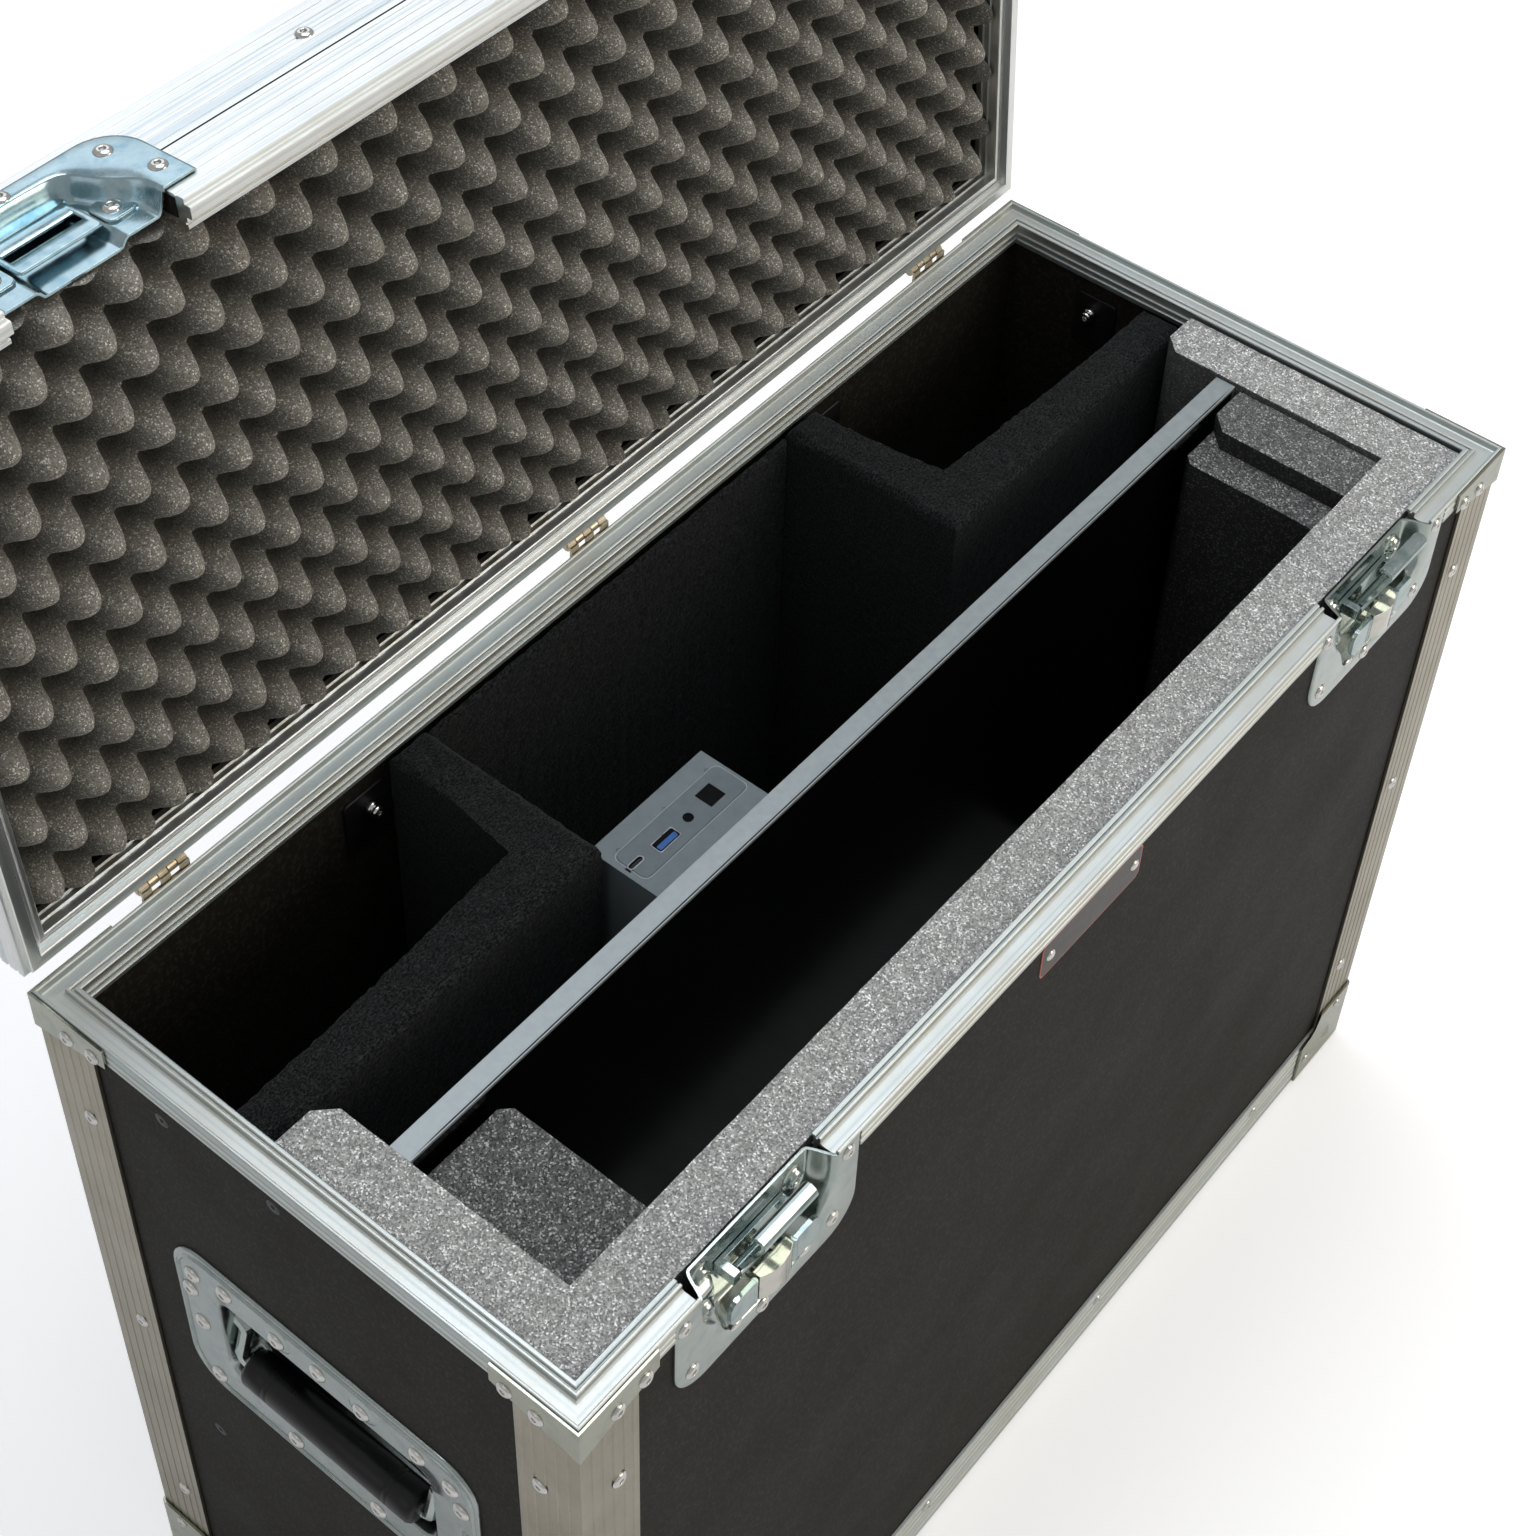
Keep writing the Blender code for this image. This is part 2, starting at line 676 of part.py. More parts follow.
def latch_wing(name, x, sign, parent):
    z = rim_z - latch_turn_drop
    back = flange_front + wing_gap
    wing = piece(name, front_prism(wing_outline(sign), back + wing_sheet, back, x, z), zinc_steel, parent)
    barrel_y = -back - wing_sheet / 2
    low = (x + sign * wing_root, barrel_y, z - wing_half_tall + fit_gap)
    high = (x + sign * wing_root, barrel_y, z + wing_half_tall - fit_gap)
    boolean(wing, disc_mesh(low, high, wing_barrel, sides=10), "UNION")


def latch_slide(name, x, parent):
    # A plate on the pan floor with two ears and the pin that the hook turns on.
    back = -pan_floor - fit_gap
    z = rim_z - hook_pin_drop
    low = rim_z - slide_low_drop
    high = z + hook_pin_radius * 3
    slide = piece(name, box_mesh((x - slide_ear_half, back - slide_sheet, low),
                                 (x + slide_ear_half, back, high)), zinc_steel, parent)
    for sign in (-1, 1):
        inner = x + sign * (hook_half + fit_gap * 2)
        outer = x + sign * slide_ear_half
        ear_low = (min(inner, outer), hook_y - hook_pin_radius * 2, z - hook_pin_radius * 2)
        ear_high = (max(inner, outer), back - slide_sheet / 2, high)
        boolean(slide, box_mesh(ear_low, ear_high), "UNION")
    pin_end = slide_ear_half - sheet
    boolean(slide, disc_mesh((x - pin_end, hook_y, z), (x + pin_end, hook_y, z), hook_pin_radius,
                             sides=10), "UNION")


def hook_line():
    # The hook from above its pin to the end of its curl, as (inward, up) from the pin.
    start = (0, hook_pin_radius + fit_gap + sheet / 2)
    return [start] + arc(hook_curl_radius, hook_reach, hook_curl_radius, 180, hook_curl_end, 8)


def latch_hook(name, x, parent):
    z = rim_z - hook_pin_drop
    stand = frame_matrix((x, hook_y, z), (0, 1, 0), (0, 0, 1))
    plate = moved_mesh(outline_mesh(strip_outline(hook_line(), hook_sheet), hook_half * 2), stand)
    hook = piece(name, plate, zinc_steel, parent, round_off=True)
    eye_radius = hook_pin_radius + fit_gap + sheet
    eye = outline_mesh(arc(0, 0, eye_radius, 0, 345, 15), hook_half * 2 - fit_gap,
                       [arc(0, 0, hook_pin_radius + fit_gap, 0, 330, 11)])
    boolean(hook, moved_mesh(eye, stand), "UNION")


for side, latch_x in zip(latch_sides, latch_xs):
    turn_z = rim_z - latch_turn_drop
    latch_dish(side + "_latch_dish", latch_x)
    hub_pivot = pivot(side + "_latch_turn", (latch_x, -flange_front, turn_z))
    latch_hub(side + "_latch_hub", latch_x, hub_pivot)
    for label, sign in (("left", -1), ("right", 1)):
        wing_y = -flange_front - wing_gap - wing_sheet / 2
        fold = pivot(side + "_latch_" + label + "_fold", (latch_x + sign * wing_root, wing_y, turn_z),
                     parent=hub_pivot)
        latch_wing(side + "_latch_" + label + "_wing", latch_x, sign, fold)
    slide_pivot = pivot(side + "_latch_rise", (latch_x, -pan_floor, rim_z - slide_low_drop))
    latch_slide(side + "_latch_slide", latch_x, slide_pivot)
    lean = pivot(side + "_latch_lean", (latch_x, hook_y, rim_z - hook_pin_drop), hook_lean, slide_pivot)
    latch_hook(side + "_latch_hook", latch_x, lean)
    cut_front_pan(front_panel, latch_x, dish_z, pan_half, pan_drop - latch_top_drop, inner_y - overrun)

# Handles: a pressed dish in each end, a wire bail on two holes and a grip on the wire
handle_drop = 0.182
handle_flange_half = 0.0925
handle_flange_tall = 0.057
handle_flange_radius = 0.020
handle_pan_half = 0.0635
handle_pan_tall = 0.030
handle_pan_radius = 0.008
handle_pan_depth = 0.016
bail_wire_radius = 0.0036
bail_half = 0.0590
bail_pivot_up = 0.0070
bail_pivot_depth = 0.0085
bail_drop = 0.0240
bail_bend = 0.0050
grip_radius = 0.0115
grip_end_radius = 0.0095
grip_half = 0.0530
grip_end_run = 0.0060
grip_clearance = 0.0006
grip_out = sheet - handle_pan_depth + grip_radius + grip_clearance
bail_steps = 4


def end_frame(sign):
    # Faces out of an end panel, with z = 0 on the panel's skin and x to the viewer's right.
    return frame_matrix((sign * (outer_x + fit_gap), 0, rim_z - handle_drop), (0, sign, 0), (0, 0, 1))


def layer(outline, low, high, holes=()):
    # A flat outline between two heights.
    mesh = outline_mesh(outline, high - low, holes)
    return moved_mesh(mesh, Matrix.Translation((0, 0, (low + high) / 2)))


def handle_pan(grow, low, high):
    return layer(rounded_rectangle(handle_pan_half + grow, handle_pan_tall + grow,
                                   handle_pan_radius + grow), low, high)


def handle_dish(name, frame):
    flange = rounded_rectangle(handle_flange_half, handle_flange_tall, handle_flange_radius, 6)
    dish = piece(name, layer(flange, 0, sheet), zinc_steel, matrix=frame)
    floor = sheet - handle_pan_depth
    changes = [("UNION", handle_pan(sheet, floor - sheet, sheet / 2)),
               ("DIFFERENCE", handle_pan(0, floor, sheet + overrun))]
    depth = sheet - bail_pivot_depth
    hole_end = handle_pan_half + sheet + overrun
    hole = disc_mesh((-hole_end, bail_pivot_up, depth), (hole_end, bail_pivot_up, depth),
                     bail_wire_radius + fit_gap, sides=16)
    changes.append(("DIFFERENCE", hole))
    dish.data = shaped_mesh(dish.data, changes)
    dish.data.materials.append(zinc_steel)


def bail_path():
    # Pin, bend, arm, bend and half the grip rod, as (along, up, out) from the dish's middle.
    out = sheet - bail_pivot_depth
    top = bail_pivot_up
    low = bail_pivot_up - bail_drop
    bend = bail_bend
    half = [(handle_pan_half + sheet, top, out), (bail_half + bend, top, out)]
    for step in range(1, bail_steps + 1):
        turn = math.radians(90 * step / bail_steps)
        half.append((bail_half + bend - bend * math.sin(turn), top - bend + bend * math.cos(turn), out))
    for step in range(bail_steps + 1):
        turn = math.radians(90 * step / bail_steps)
        half.append((bail_half - bend + bend * math.cos(turn), low + bend - bend * math.sin(turn), grip_out))
    return half + [(-x, y, z) for x, y, z in half[::-1]]


def wire_mesh(path, radius):
    curve = bpy.data.curves.new("wire", "CURVE")
    curve.dimensions = "3D"
    curve.bevel_depth = radius
    curve.bevel_resolution = 2
    curve.use_fill_caps = True
    spline = curve.splines.new("POLY")
    spline.points.add(len(path) - 1)
    for point, place_at in zip(spline.points, path):
        point.co = (*place_at, 1)
    holder = bpy.data.objects.new("wire", curve)
    case.objects.link(holder)
    mesh = baked_mesh(holder)
    bpy.data.objects.remove(holder, do_unlink=True)
    bpy.data.curves.remove(curve)
    return mesh


def grip_mesh():
    # A turned sleeve with a bore for the wire and slightly drawn-in ends.
    bore = bail_wire_radius + fit_gap
    profile = [(grip_end_radius, grip_half), (grip_radius, grip_half - grip_end_run),
               (grip_radius, -grip_half + grip_end_run), (grip_end_radius, -grip_half),
               (bore, -grip_half), (bore, grip_half)]
    shape = bmesh.new()
    verts = [shape.verts.new((x, 0, z)) for x, z in profile]
    for index, vert in enumerate(verts):
        shape.edges.new((vert, verts[(index + 1) % len(verts)]))
    mesh = bpy.data.meshes.new("grip")
    shape.to_mesh(mesh)
    shape.free()
    holder = bpy.data.objects.new("grip", mesh)
    case.objects.link(holder)
    screw = holder.modifiers.new("turned", "SCREW")
    screw.steps = 24
    screw.render_steps = 24
    screw.use_merge_vertices = True
    screw.merge_threshold = weld_distance * 3
    made = baked_mesh(holder)
    bpy.data.objects.remove(holder, do_unlink=True)
    return made


for side, sign, panel in (("left", -1, left_panel), ("right", 1, right_panel)):
    frame = end_frame(sign)
    handle_dish(side + "_handle_dish", frame)
    swing_at = frame @ Vector((0, bail_pivot_up, sheet - bail_pivot_depth))
    swing = pivot(side + "_handle_swing", swing_at)
    piece(side + "_handle_bail", moved_mesh(wire_mesh(bail_path(), bail_wire_radius), frame), zinc_steel,
          swing, round_off=True)
    grip_at = frame @ Vector((0, bail_pivot_up - bail_drop, grip_out))
    along_grip = frame_matrix(grip_at, (1, 0, 0), (0, 0, 1))
    piece(side + "_handle_grip", moved_mesh(grip_mesh(), along_grip), grip_plastic, swing, round_off=True)
    opening = moved_mesh(handle_pan(sheet + fit_gap, -panel_thickness - overrun, overrun), frame)
    boolean(panel, opening)

# Foam: a front strip, an end block with its lower step at each end, and the floor pad
foam_drop = 0.003
foam_front_thickness = 0.0435
foam_block_short = 0.0045
foam_chamfer = 0.009
foam_step_drop = 0.018
foam_step_length = 0.0525
foam_step_short = 0.003
foam_step_chamfer = 0.005
monitor_drop = 0.005
monitor_side_room = 0.0005
screen_room = 0.0865
monitor_rear_room = 0.040
wall_thickness = 0.024
box_drop = 0.010
housing_half = 0.126
housing_room = 0.006
handle_clear = 0.0006

foam_top = rim_z - foam_drop
foam_step_top = rim_z - foam_step_drop
box_top = rim_z - box_drop
monitor_top = rim_z - monitor_drop
foam_front_back_y = foam_front_thickness - half_depth
monitor_front_y = foam_front_back_y + screen_room
monitor_rear_y = monitor_front_y + monitor_thick
wall_front_y = monitor_rear_y + monitor_rear_room
foam_block_rear_y = wall_front_y - foam_block_short
foam_step_rear_y = monitor_front_y - foam_step_short
foam_block_inner_x = monitor_half + monitor_side_room
foam_step_inner_x = foam_block_inner_x - foam_step_length
box_inner_x = housing_half + housing_room
foam_floor_top = monitor_top - monitor_tall - fit_gap
foam_outer_x = half_length - rim_width - fit_gap
foam_outer_y = half_depth - rim_width - fit_gap
foam_low = floor_top + fit_gap


def handle_pocket(target, sign):
    # Clears what stands behind a handle's pan.
    frame = end_frame(sign)
    boolean(target, moved_mesh(handle_pan(sheet + handle_clear, -handle_pan_depth - handle_clear,
                                          overrun), frame))


foam_front = piece("foam_front", box_mesh((-foam_outer_x, -foam_outer_y, foam_low),
                                          (foam_outer_x, foam_front_back_y, foam_top)), grey_foam)
for side, sign in (("left", -1), ("right", 1)):
    front_y = foam_front_back_y + fit_gap
    block = [(foam_block_inner_x, front_y), (foam_outer_x, front_y), (foam_outer_x, foam_block_rear_y),
             (foam_block_inner_x + foam_chamfer, foam_block_rear_y),
             (foam_block_inner_x, foam_block_rear_y - foam_chamfer)]
    step_outer = foam_block_inner_x + overrun
    step = [(foam_step_inner_x, front_y + fit_gap), (step_outer, front_y + fit_gap),
            (step_outer, foam_step_rear_y), (foam_step_inner_x + foam_step_chamfer, foam_step_rear_y),
            (foam_step_inner_x, foam_step_rear_y - foam_step_chamfer)]
    if sign < 0:
        block = [(-x, y) for x, y in block[::-1]]
        step = [(-x, y) for x, y in step[::-1]]
    foam = piece("foam_" + side, layer(block, foam_low, foam_top), grey_foam)
    boolean(foam, layer(step, foam_low + fit_gap, foam_step_top), "UNION")
    handle_pocket(foam, sign)

pad_half_x = foam_step_inner_x - fit_gap
pad_rear_y = wall_front_y - fit_gap
piece("foam_floor", box_mesh((-pad_half_x, foam_front_back_y + fit_gap, foam_low),
                             (pad_half_x, pad_rear_y, foam_floor_top)), grey_foam)

# Boxes: a cross divider and a wall, both carpeted, at each rear corner
for side, sign in (("left", -1), ("right", 1)):
    wall_outer = half_length - rim_width - fit_gap
    divider_rear = half_depth - rim_width - fit_gap
    divider_outer = box_inner_x + wall_thickness
    plan = [(box_inner_x, wall_front_y), (wall_outer, wall_front_y),
            (wall_outer, wall_front_y + wall_thickness), (divider_outer, wall_front_y + wall_thickness),
            (divider_outer, divider_rear), (box_inner_x, divider_rear)]
    if sign < 0:
        plan = [(-x, y) for x, y in plan[::-1]]
    box_wall = piece(side + "_box_wall", layer(plan, foam_low, box_top), black_carpet)
    handle_pocket(box_wall, sign)

# Monitor: a thin slab standing in the foam, with a raised housing and a port block behind
bezel_width = 0.0016
screen_recess = 0.0008
housing_depth = 0.0530
housing_drop = 0.0250
housing_shoulder = 0.090
housing_slope = 0.030
housing_rise = 0.060
port_block_length = 0.078
button_reach = 0.060
port_row_depth = 0.0323
button_half = 0.0050
button_proud = 0.0006
button_travel = 0.0012
button_depth = 0.0040
port_depth = 0.0050

housing_rear_y = monitor_rear_y + housing_depth
housing_top = monitor_top - housing_drop
housing_low = foam_floor_top + housing_rise
port_block_low_x = -housing_half
port_block_high_x = port_block_low_x + port_block_length
button_x = port_block_low_x + button_reach
button_y = monitor_rear_y + port_row_depth
monitor_low = monitor_top - monitor_tall
monitor_frame = piece("monitor_frame", box_mesh((-monitor_half, monitor_front_y, monitor_low),
                                                (monitor_half, monitor_rear_y, monitor_top)),
                      monitor_metal)
boolean(monitor_frame, box_mesh((-monitor_half + bezel_width, monitor_front_y - overrun,
                                 monitor_low + bezel_width),
                                (monitor_half - bezel_width, monitor_front_y + screen_recess,
                                 monitor_top - bezel_width)))

shoulder_z = housing_top - housing_shoulder
housing_plan = [(-housing_half, housing_low), (housing_half, housing_low),
                (housing_half, shoulder_z - housing_slope), (housing_half - housing_slope, shoulder_z),
                (port_block_high_x, shoulder_z), (port_block_high_x, housing_top),
                (port_block_low_x, housing_top)]
housing_front = -monitor_rear_y - fit_gap
housing = piece("monitor_housing", front_prism(housing_plan, housing_front, -housing_rear_y),
                monitor_plastic)
button_hole = button_half + fit_gap
boolean(housing, box_mesh((button_x - button_hole, button_y - button_hole, housing_top - button_depth),
                          (button_x + button_hole, button_y + button_hole, housing_top + overrun)))
# Port mouths, each with its reach along the block, its half length and its half width
slim_port_reach, slim_port_half, slim_port_tall = 0.0067, 0.0045, 0.0016
wide_port_reach, wide_port_half, wide_port_tall = 0.0255, 0.0062, 0.0026
round_port_reach, round_port_half = 0.0405, 0.0020
port_mouths = ((slim_port_reach, slim_port_half, slim_port_tall),
               (wide_port_reach, wide_port_half, wide_port_tall),
               (round_port_reach, round_port_half, round_port_half))
for port_reach, port_half_x, port_half_y in port_mouths:
    port_x = port_block_low_x + port_reach
    boolean(housing, box_mesh((port_x - port_half_x, button_y - port_half_y, housing_top - port_depth),
                              (port_x + port_half_x, button_y + port_half_y, housing_top + overrun)))
press = pivot("power_press", (button_x, button_y, housing_top))
button_low = housing_top - button_depth + button_travel + fit_gap
piece("power_button", box_mesh((button_x - button_half, button_y - button_half, button_low),
                               (button_x + button_half, button_y + button_half,
                                housing_top + button_proud)), grip_plastic, press)

# Hinges: a leaf riveted behind the base rim, a leaf behind the lid rim, and a pin
hinge_out = 0.0045
hinge_up = 0.0026
hinge_half = 0.0135
hinge_eye_radius = 0.0028
hinge_pin_radius = 0.0013
hinge_leaf_reach = 0.0110
hinge_leaf_top = 0.0010
hinge_knuckle_gap = 0.0004
hinge_inset = 0.0757
hinge_xs = (hinge_inset - half_length, 0, half_length - hinge_inset)
knuckle_middle_share = 0.5
hinge_labels = ("left", "middle", "right")
hinge_knuckles = 5
hinge_y = half_depth + hinge_out
hinge_z = rim_z + hinge_up
lid_turn = pivot("lid_turn", (0, hinge_y, hinge_z), -lid_open_angle)


def leaf_mesh(knuckles, with_pin):
    # Drawn from the hinge axis: local x is rearward, y up and z along the case.
    inner = fit_gap - hinge_out
    outer = inner + sheet
    low = -hinge_up - hinge_leaf_reach
    plate_top = -hinge_up - hinge_leaf_top
    plate = outline_mesh([(inner, low), (outer, low), (outer, plate_top), (inner, plate_top)],
                         hinge_half * 2)
    eye_reach = math.sqrt(hinge_eye_radius ** 2 - outer ** 2)
    start = math.degrees(math.atan2(-eye_reach, outer)) + 360
    end = math.degrees(math.atan2(eye_reach, outer)) + 360
    eye = [(inner, plate_top - overrun), (outer, plate_top - overrun)]
    eye += arc(0, 0, hinge_eye_radius, start, end, 14)[:-1]
    eye += [(outer, eye_reach), (inner, eye_reach)]
    pitch = hinge_half * 2 / hinge_knuckles
    changes = []
    hole = [arc(0, 0, hinge_pin_radius + fit_gap, 0, 330, 11)]
    for knuckle in knuckles:
        middle = -hinge_half + pitch * (knuckle + knuckle_middle_share)
        holes = () if with_pin else hole
        part = outline_mesh(eye, pitch - hinge_knuckle_gap, holes)
        changes.append(("UNION", moved_mesh(part, Matrix.Translation((0, 0, middle)))))
    if with_pin:
        pin = disc_mesh((0, 0, -hinge_half), (0, 0, hinge_half), hinge_pin_radius, sides=12)
        changes.append(("UNION", pin))
    return shaped_mesh(plate, changes)


base_leaf = leaf_mesh((0, 2, 4), True)
lid_leaf = leaf_mesh((1, 3), False)
for label, x in zip(hinge_labels, hinge_xs):
    stand = frame_matrix((x, hinge_y, hinge_z), (0, 1, 0), (0, 0, 1))
    piece(label + "_hinge_base_leaf", moved_mesh(base_leaf, stand), zinc_steel)
    flipped = stand @ Matrix.Diagonal((1, -1, 1, 1))
    piece(label + "_hinge_lid_leaf", moved_mesh(lid_leaf, flipped), zinc_steel, lid_turn)

# Lid, drawn closed: a board shell, its rim, the top edge angles and the ball corners
lid_wall_low = rim_z + rim_web_drop + fit_gap
lid_skin_top = lid_top_z - panel_inset
lid_board_low = lid_skin_top - panel_thickness
lid_angle_leg = lid_height - lid_rim_leg - seam_gap
keeper_top = 0.059
keeper_pan_rise = 0.050
keeper_base = 0.0004
keeper_flange_radius = 0.016
lid_flange_front = half_depth + fit_gap + sheet
lid_pan_floor = pan_floor
strike_half = 0.0185
strike_slot_half = 0.0172
strike_low = 0.0210
strike_bend = 0.0020
strike_grip = 0.0008
strike_high = 0.0480
strike_slot_top = 0.0355
strike_offset = 0.0055
keeper_z = rim_z + keeper_base

lid_shell = piece("lid_shell", box_mesh((-outer_x, -outer_y, lid_wall_low), (outer_x, outer_y, lid_skin_top)),
                  panel_skin, lid_turn)
boolean(lid_shell, box_mesh((-inner_x, -inner_y, lid_wall_low - overrun), (inner_x, inner_y, lid_board_low)))

lid_section = lid_rim_outline()
lid_rim = piece("lid_rim", ring_mesh(lid_section, rim_z), aluminium, lid_turn)
boolean(lid_rim, front_gap_box(rim_cut_outer, rim_z - tongue_reach - overrun, rim_z + lid_rim_leg + overrun))
lid_rim_front = piece("lid_rim_front", moved_mesh(
    rail_mesh(lid_section, -rim_cut_inner, rim_cut_inner, False, False), side_frame("front", rim_z)),
    aluminium, lid_turn)

lid_edges = piece("lid_edges", ring_mesh(angle_outline(angle_leg, lid_angle_leg, -1), lid_top_z),
                  aluminium, lid_turn)


def fused_ball_corner(turn):
    # A lid corner's shell, sunk half into the edge angle's skin so that the two are one piece.
    down = corner_frame(turn, lid_top_z) @ Matrix.Diagonal((1, 1, -1, 1))
    return moved_mesh(ball_corner_mesh(lid_ball_leg, lid_ball_cut_center, lid_ball_cut_radius, skin / 2), down)


for turn in corner_turns:
    boolean(lid_edges, fused_ball_corner(turn), "UNION")

# Keepers: a dish over the lid's front rails, with a slotted strike bent out of its floor
keeper_flange_half = 0.0590
keeper_outer = pan_outline(pan_half, keeper_pan_rise, 0)
keeper_inner = pan_outline(pan_half - sheet, keeper_pan_rise - sheet, overrun)
slot_low = rim_z - hook_pin_drop + slide_travel + hook_reach + strike_grip


def upside_down(outline):
    return [(u, -v) for u, v in outline[::-1]]


def strike_line():
    # The strike's bent strip, as (inward, up) from the dish floor's face and the rim plane.
    foot = sheet / 2
    out = -strike_offset
    return [(foot, strike_high), (out + strike_bend, strike_high - strike_bend / 2),
            (out, strike_high - strike_bend * 2), (out, strike_low)]


def keeper(name, x):
    flange = upside_down(flange_outline(keeper_flange_half, keeper_top - keeper_base, keeper_flange_radius))
    dish = front_prism(flange, lid_flange_front, lid_flange_front - sheet, x, keeper_z)
    outer = front_prism(upside_down(keeper_outer), lid_flange_front - sheet / 2, lid_pan_floor - sheet,
                        x, keeper_z)
    inner = front_prism(upside_down(keeper_inner), lid_flange_front + overrun, lid_pan_floor, x, keeper_z)
    stand = frame_matrix((x, -lid_pan_floor, rim_z), (0, 1, 0), (0, 0, 1))
    strike = moved_mesh(outline_mesh(strip_outline(strike_line(), sheet), strike_half * 2), stand)
    slot = box_mesh((x - strike_slot_half, -half_depth, slot_low),
                    (x + strike_slot_half, -lid_pan_floor - fit_gap, rim_z + strike_slot_top))
    mesh = shaped_mesh(dish, [("UNION", outer), ("DIFFERENCE", inner), ("UNION", strike),
                              ("DIFFERENCE", slot)])
    piece(name, mesh, zinc_steel, lid_turn)


for side, latch_x in zip(latch_sides, latch_xs):
    keeper(side + "_keeper", latch_x)
    for target in (lid_shell, lid_edges):
        outline = upside_down(pan_outline(pan_half + fit_gap, keeper_pan_rise + fit_gap, overrun * 5))
        back = lid_pan_floor - sheet - fit_gap - overrun
        boolean(target, front_prism(outline, lid_flange_front + overrun, back, latch_x, keeper_z))

# Convoluted foam: rows of peaks, each row set half a pitch along from the next
lid_foam_pitch_x = 0.0340
lid_foam_pitch_y = 0.0360
lid_foam_peak_up = 0.0020
lid_foam_relief = 0.0180
lid_foam_columns = 39
lid_foam_rows = 15


def lid_foam_mesh():
    half_x = lid_foam_pitch_x / 4 * lid_foam_columns
    half_y = lid_foam_pitch_y / 4 * lid_foam_rows
    limit_x = half_length - rim_width - fit_gap
    limit_y = half_depth - rim_width - fit_gap
    shape = bmesh.new()
    bmesh.ops.create_grid(shape, x_segments=lid_foam_columns, y_segments=lid_foam_rows, size=1)
    middle = rim_z + lid_foam_peak_up + lid_foam_relief / 2
    for vert in shape.verts:
        x = vert.co.x * half_x
        y = vert.co.y * half_y
        column = round((x + half_x) / (lid_foam_pitch_x / 2))
        row = round((y + half_y) / (lid_foam_pitch_y / 2))
        way = 1 if (column + row) % 2 else -1
        vert.co = (max(-limit_x, min(limit_x, x)), max(-limit_y, min(limit_y, y)),
                   middle + way * lid_foam_relief / 2)
    border = [edge for edge in shape.edges if edge.is_boundary]
    raised = bmesh.ops.extrude_edge_only(shape, edges=border)["geom"]
    for vert in (item for item in raised if isinstance(item, bmesh.types.BMVert)):
        vert.co.z = lid_board_low - fit_gap
    upper = [item for item in raised if isinstance(item, bmesh.types.BMEdge)]
    bmesh.ops.contextual_create(shape, geom=upper)
    return mesh_from(shape)


piece("lid_foam", lid_foam_mesh(), dark_foam, lid_turn)
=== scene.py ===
# %% [markdown]
# # Dressing a monitor flight case
# The solids of the case come ready made, in metres, with +Z up and the latches towards -Y.
# Here they get their finishes, and the pieces that make them look real are added: rivets,
# foam, carpet, bolts, a plate, and pressed steel with soft bends.
# The first step loads the solids and keeps their box.

import json
import math

import bmesh
import bpy
from mathutils import Matrix, Vector, noise


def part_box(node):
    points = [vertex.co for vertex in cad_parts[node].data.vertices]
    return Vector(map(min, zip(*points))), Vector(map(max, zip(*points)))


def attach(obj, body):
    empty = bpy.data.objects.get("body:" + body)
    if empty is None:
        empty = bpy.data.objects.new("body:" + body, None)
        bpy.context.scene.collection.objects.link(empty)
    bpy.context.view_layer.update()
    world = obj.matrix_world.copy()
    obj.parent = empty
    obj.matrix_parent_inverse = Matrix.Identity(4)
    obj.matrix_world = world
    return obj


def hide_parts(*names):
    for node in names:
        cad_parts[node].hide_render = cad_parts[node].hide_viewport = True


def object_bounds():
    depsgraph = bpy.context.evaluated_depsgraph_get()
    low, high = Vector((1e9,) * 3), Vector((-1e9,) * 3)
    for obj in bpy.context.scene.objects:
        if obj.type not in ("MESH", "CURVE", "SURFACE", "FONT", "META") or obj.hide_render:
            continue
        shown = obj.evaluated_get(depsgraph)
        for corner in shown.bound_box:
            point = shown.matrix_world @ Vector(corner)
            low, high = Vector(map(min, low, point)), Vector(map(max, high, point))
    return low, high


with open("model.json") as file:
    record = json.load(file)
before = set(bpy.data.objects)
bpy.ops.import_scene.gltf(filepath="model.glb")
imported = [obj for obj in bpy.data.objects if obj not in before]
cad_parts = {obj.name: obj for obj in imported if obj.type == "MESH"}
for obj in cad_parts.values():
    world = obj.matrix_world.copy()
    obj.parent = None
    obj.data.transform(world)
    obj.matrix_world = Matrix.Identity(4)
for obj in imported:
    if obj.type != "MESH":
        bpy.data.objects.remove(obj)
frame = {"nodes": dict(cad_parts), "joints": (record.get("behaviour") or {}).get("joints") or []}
solid_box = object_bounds()
MM = 0.001
nodes = frame["nodes"]

# %% [markdown]
# A few places are read from the solids, so that each added piece sits on what carries it.
# Lid pieces are easiest to think of with the lid shut. The lid's own frame is the shut frame,
# and one matrix turns it open about the hinge axis.

# %% Places that the pieces share
rim_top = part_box("base_rim")[1].z
half_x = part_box("base_rim")[1].x
half_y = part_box("base_rim")[1].y
inner_half_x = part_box("foam_front")[1].x
inner_half_y = -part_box("foam_front")[0].y
lid_joint = next(joint for joint in frame["joints"] if joint["name"] == "lid_turn")
lid_axis = Vector(lid_joint["pos_m"])
lid_open = math.radians(lid_joint["range_deg"][1])
lid_matrix = (Matrix.Translation(lid_axis) @ Matrix.Rotation(-lid_open, 4, "X")
              @ Matrix.Translation(-lid_axis))
print("rim top at", round(rim_top / MM, 1), "mm, half sizes", round(half_x / MM), round(half_y / MM))

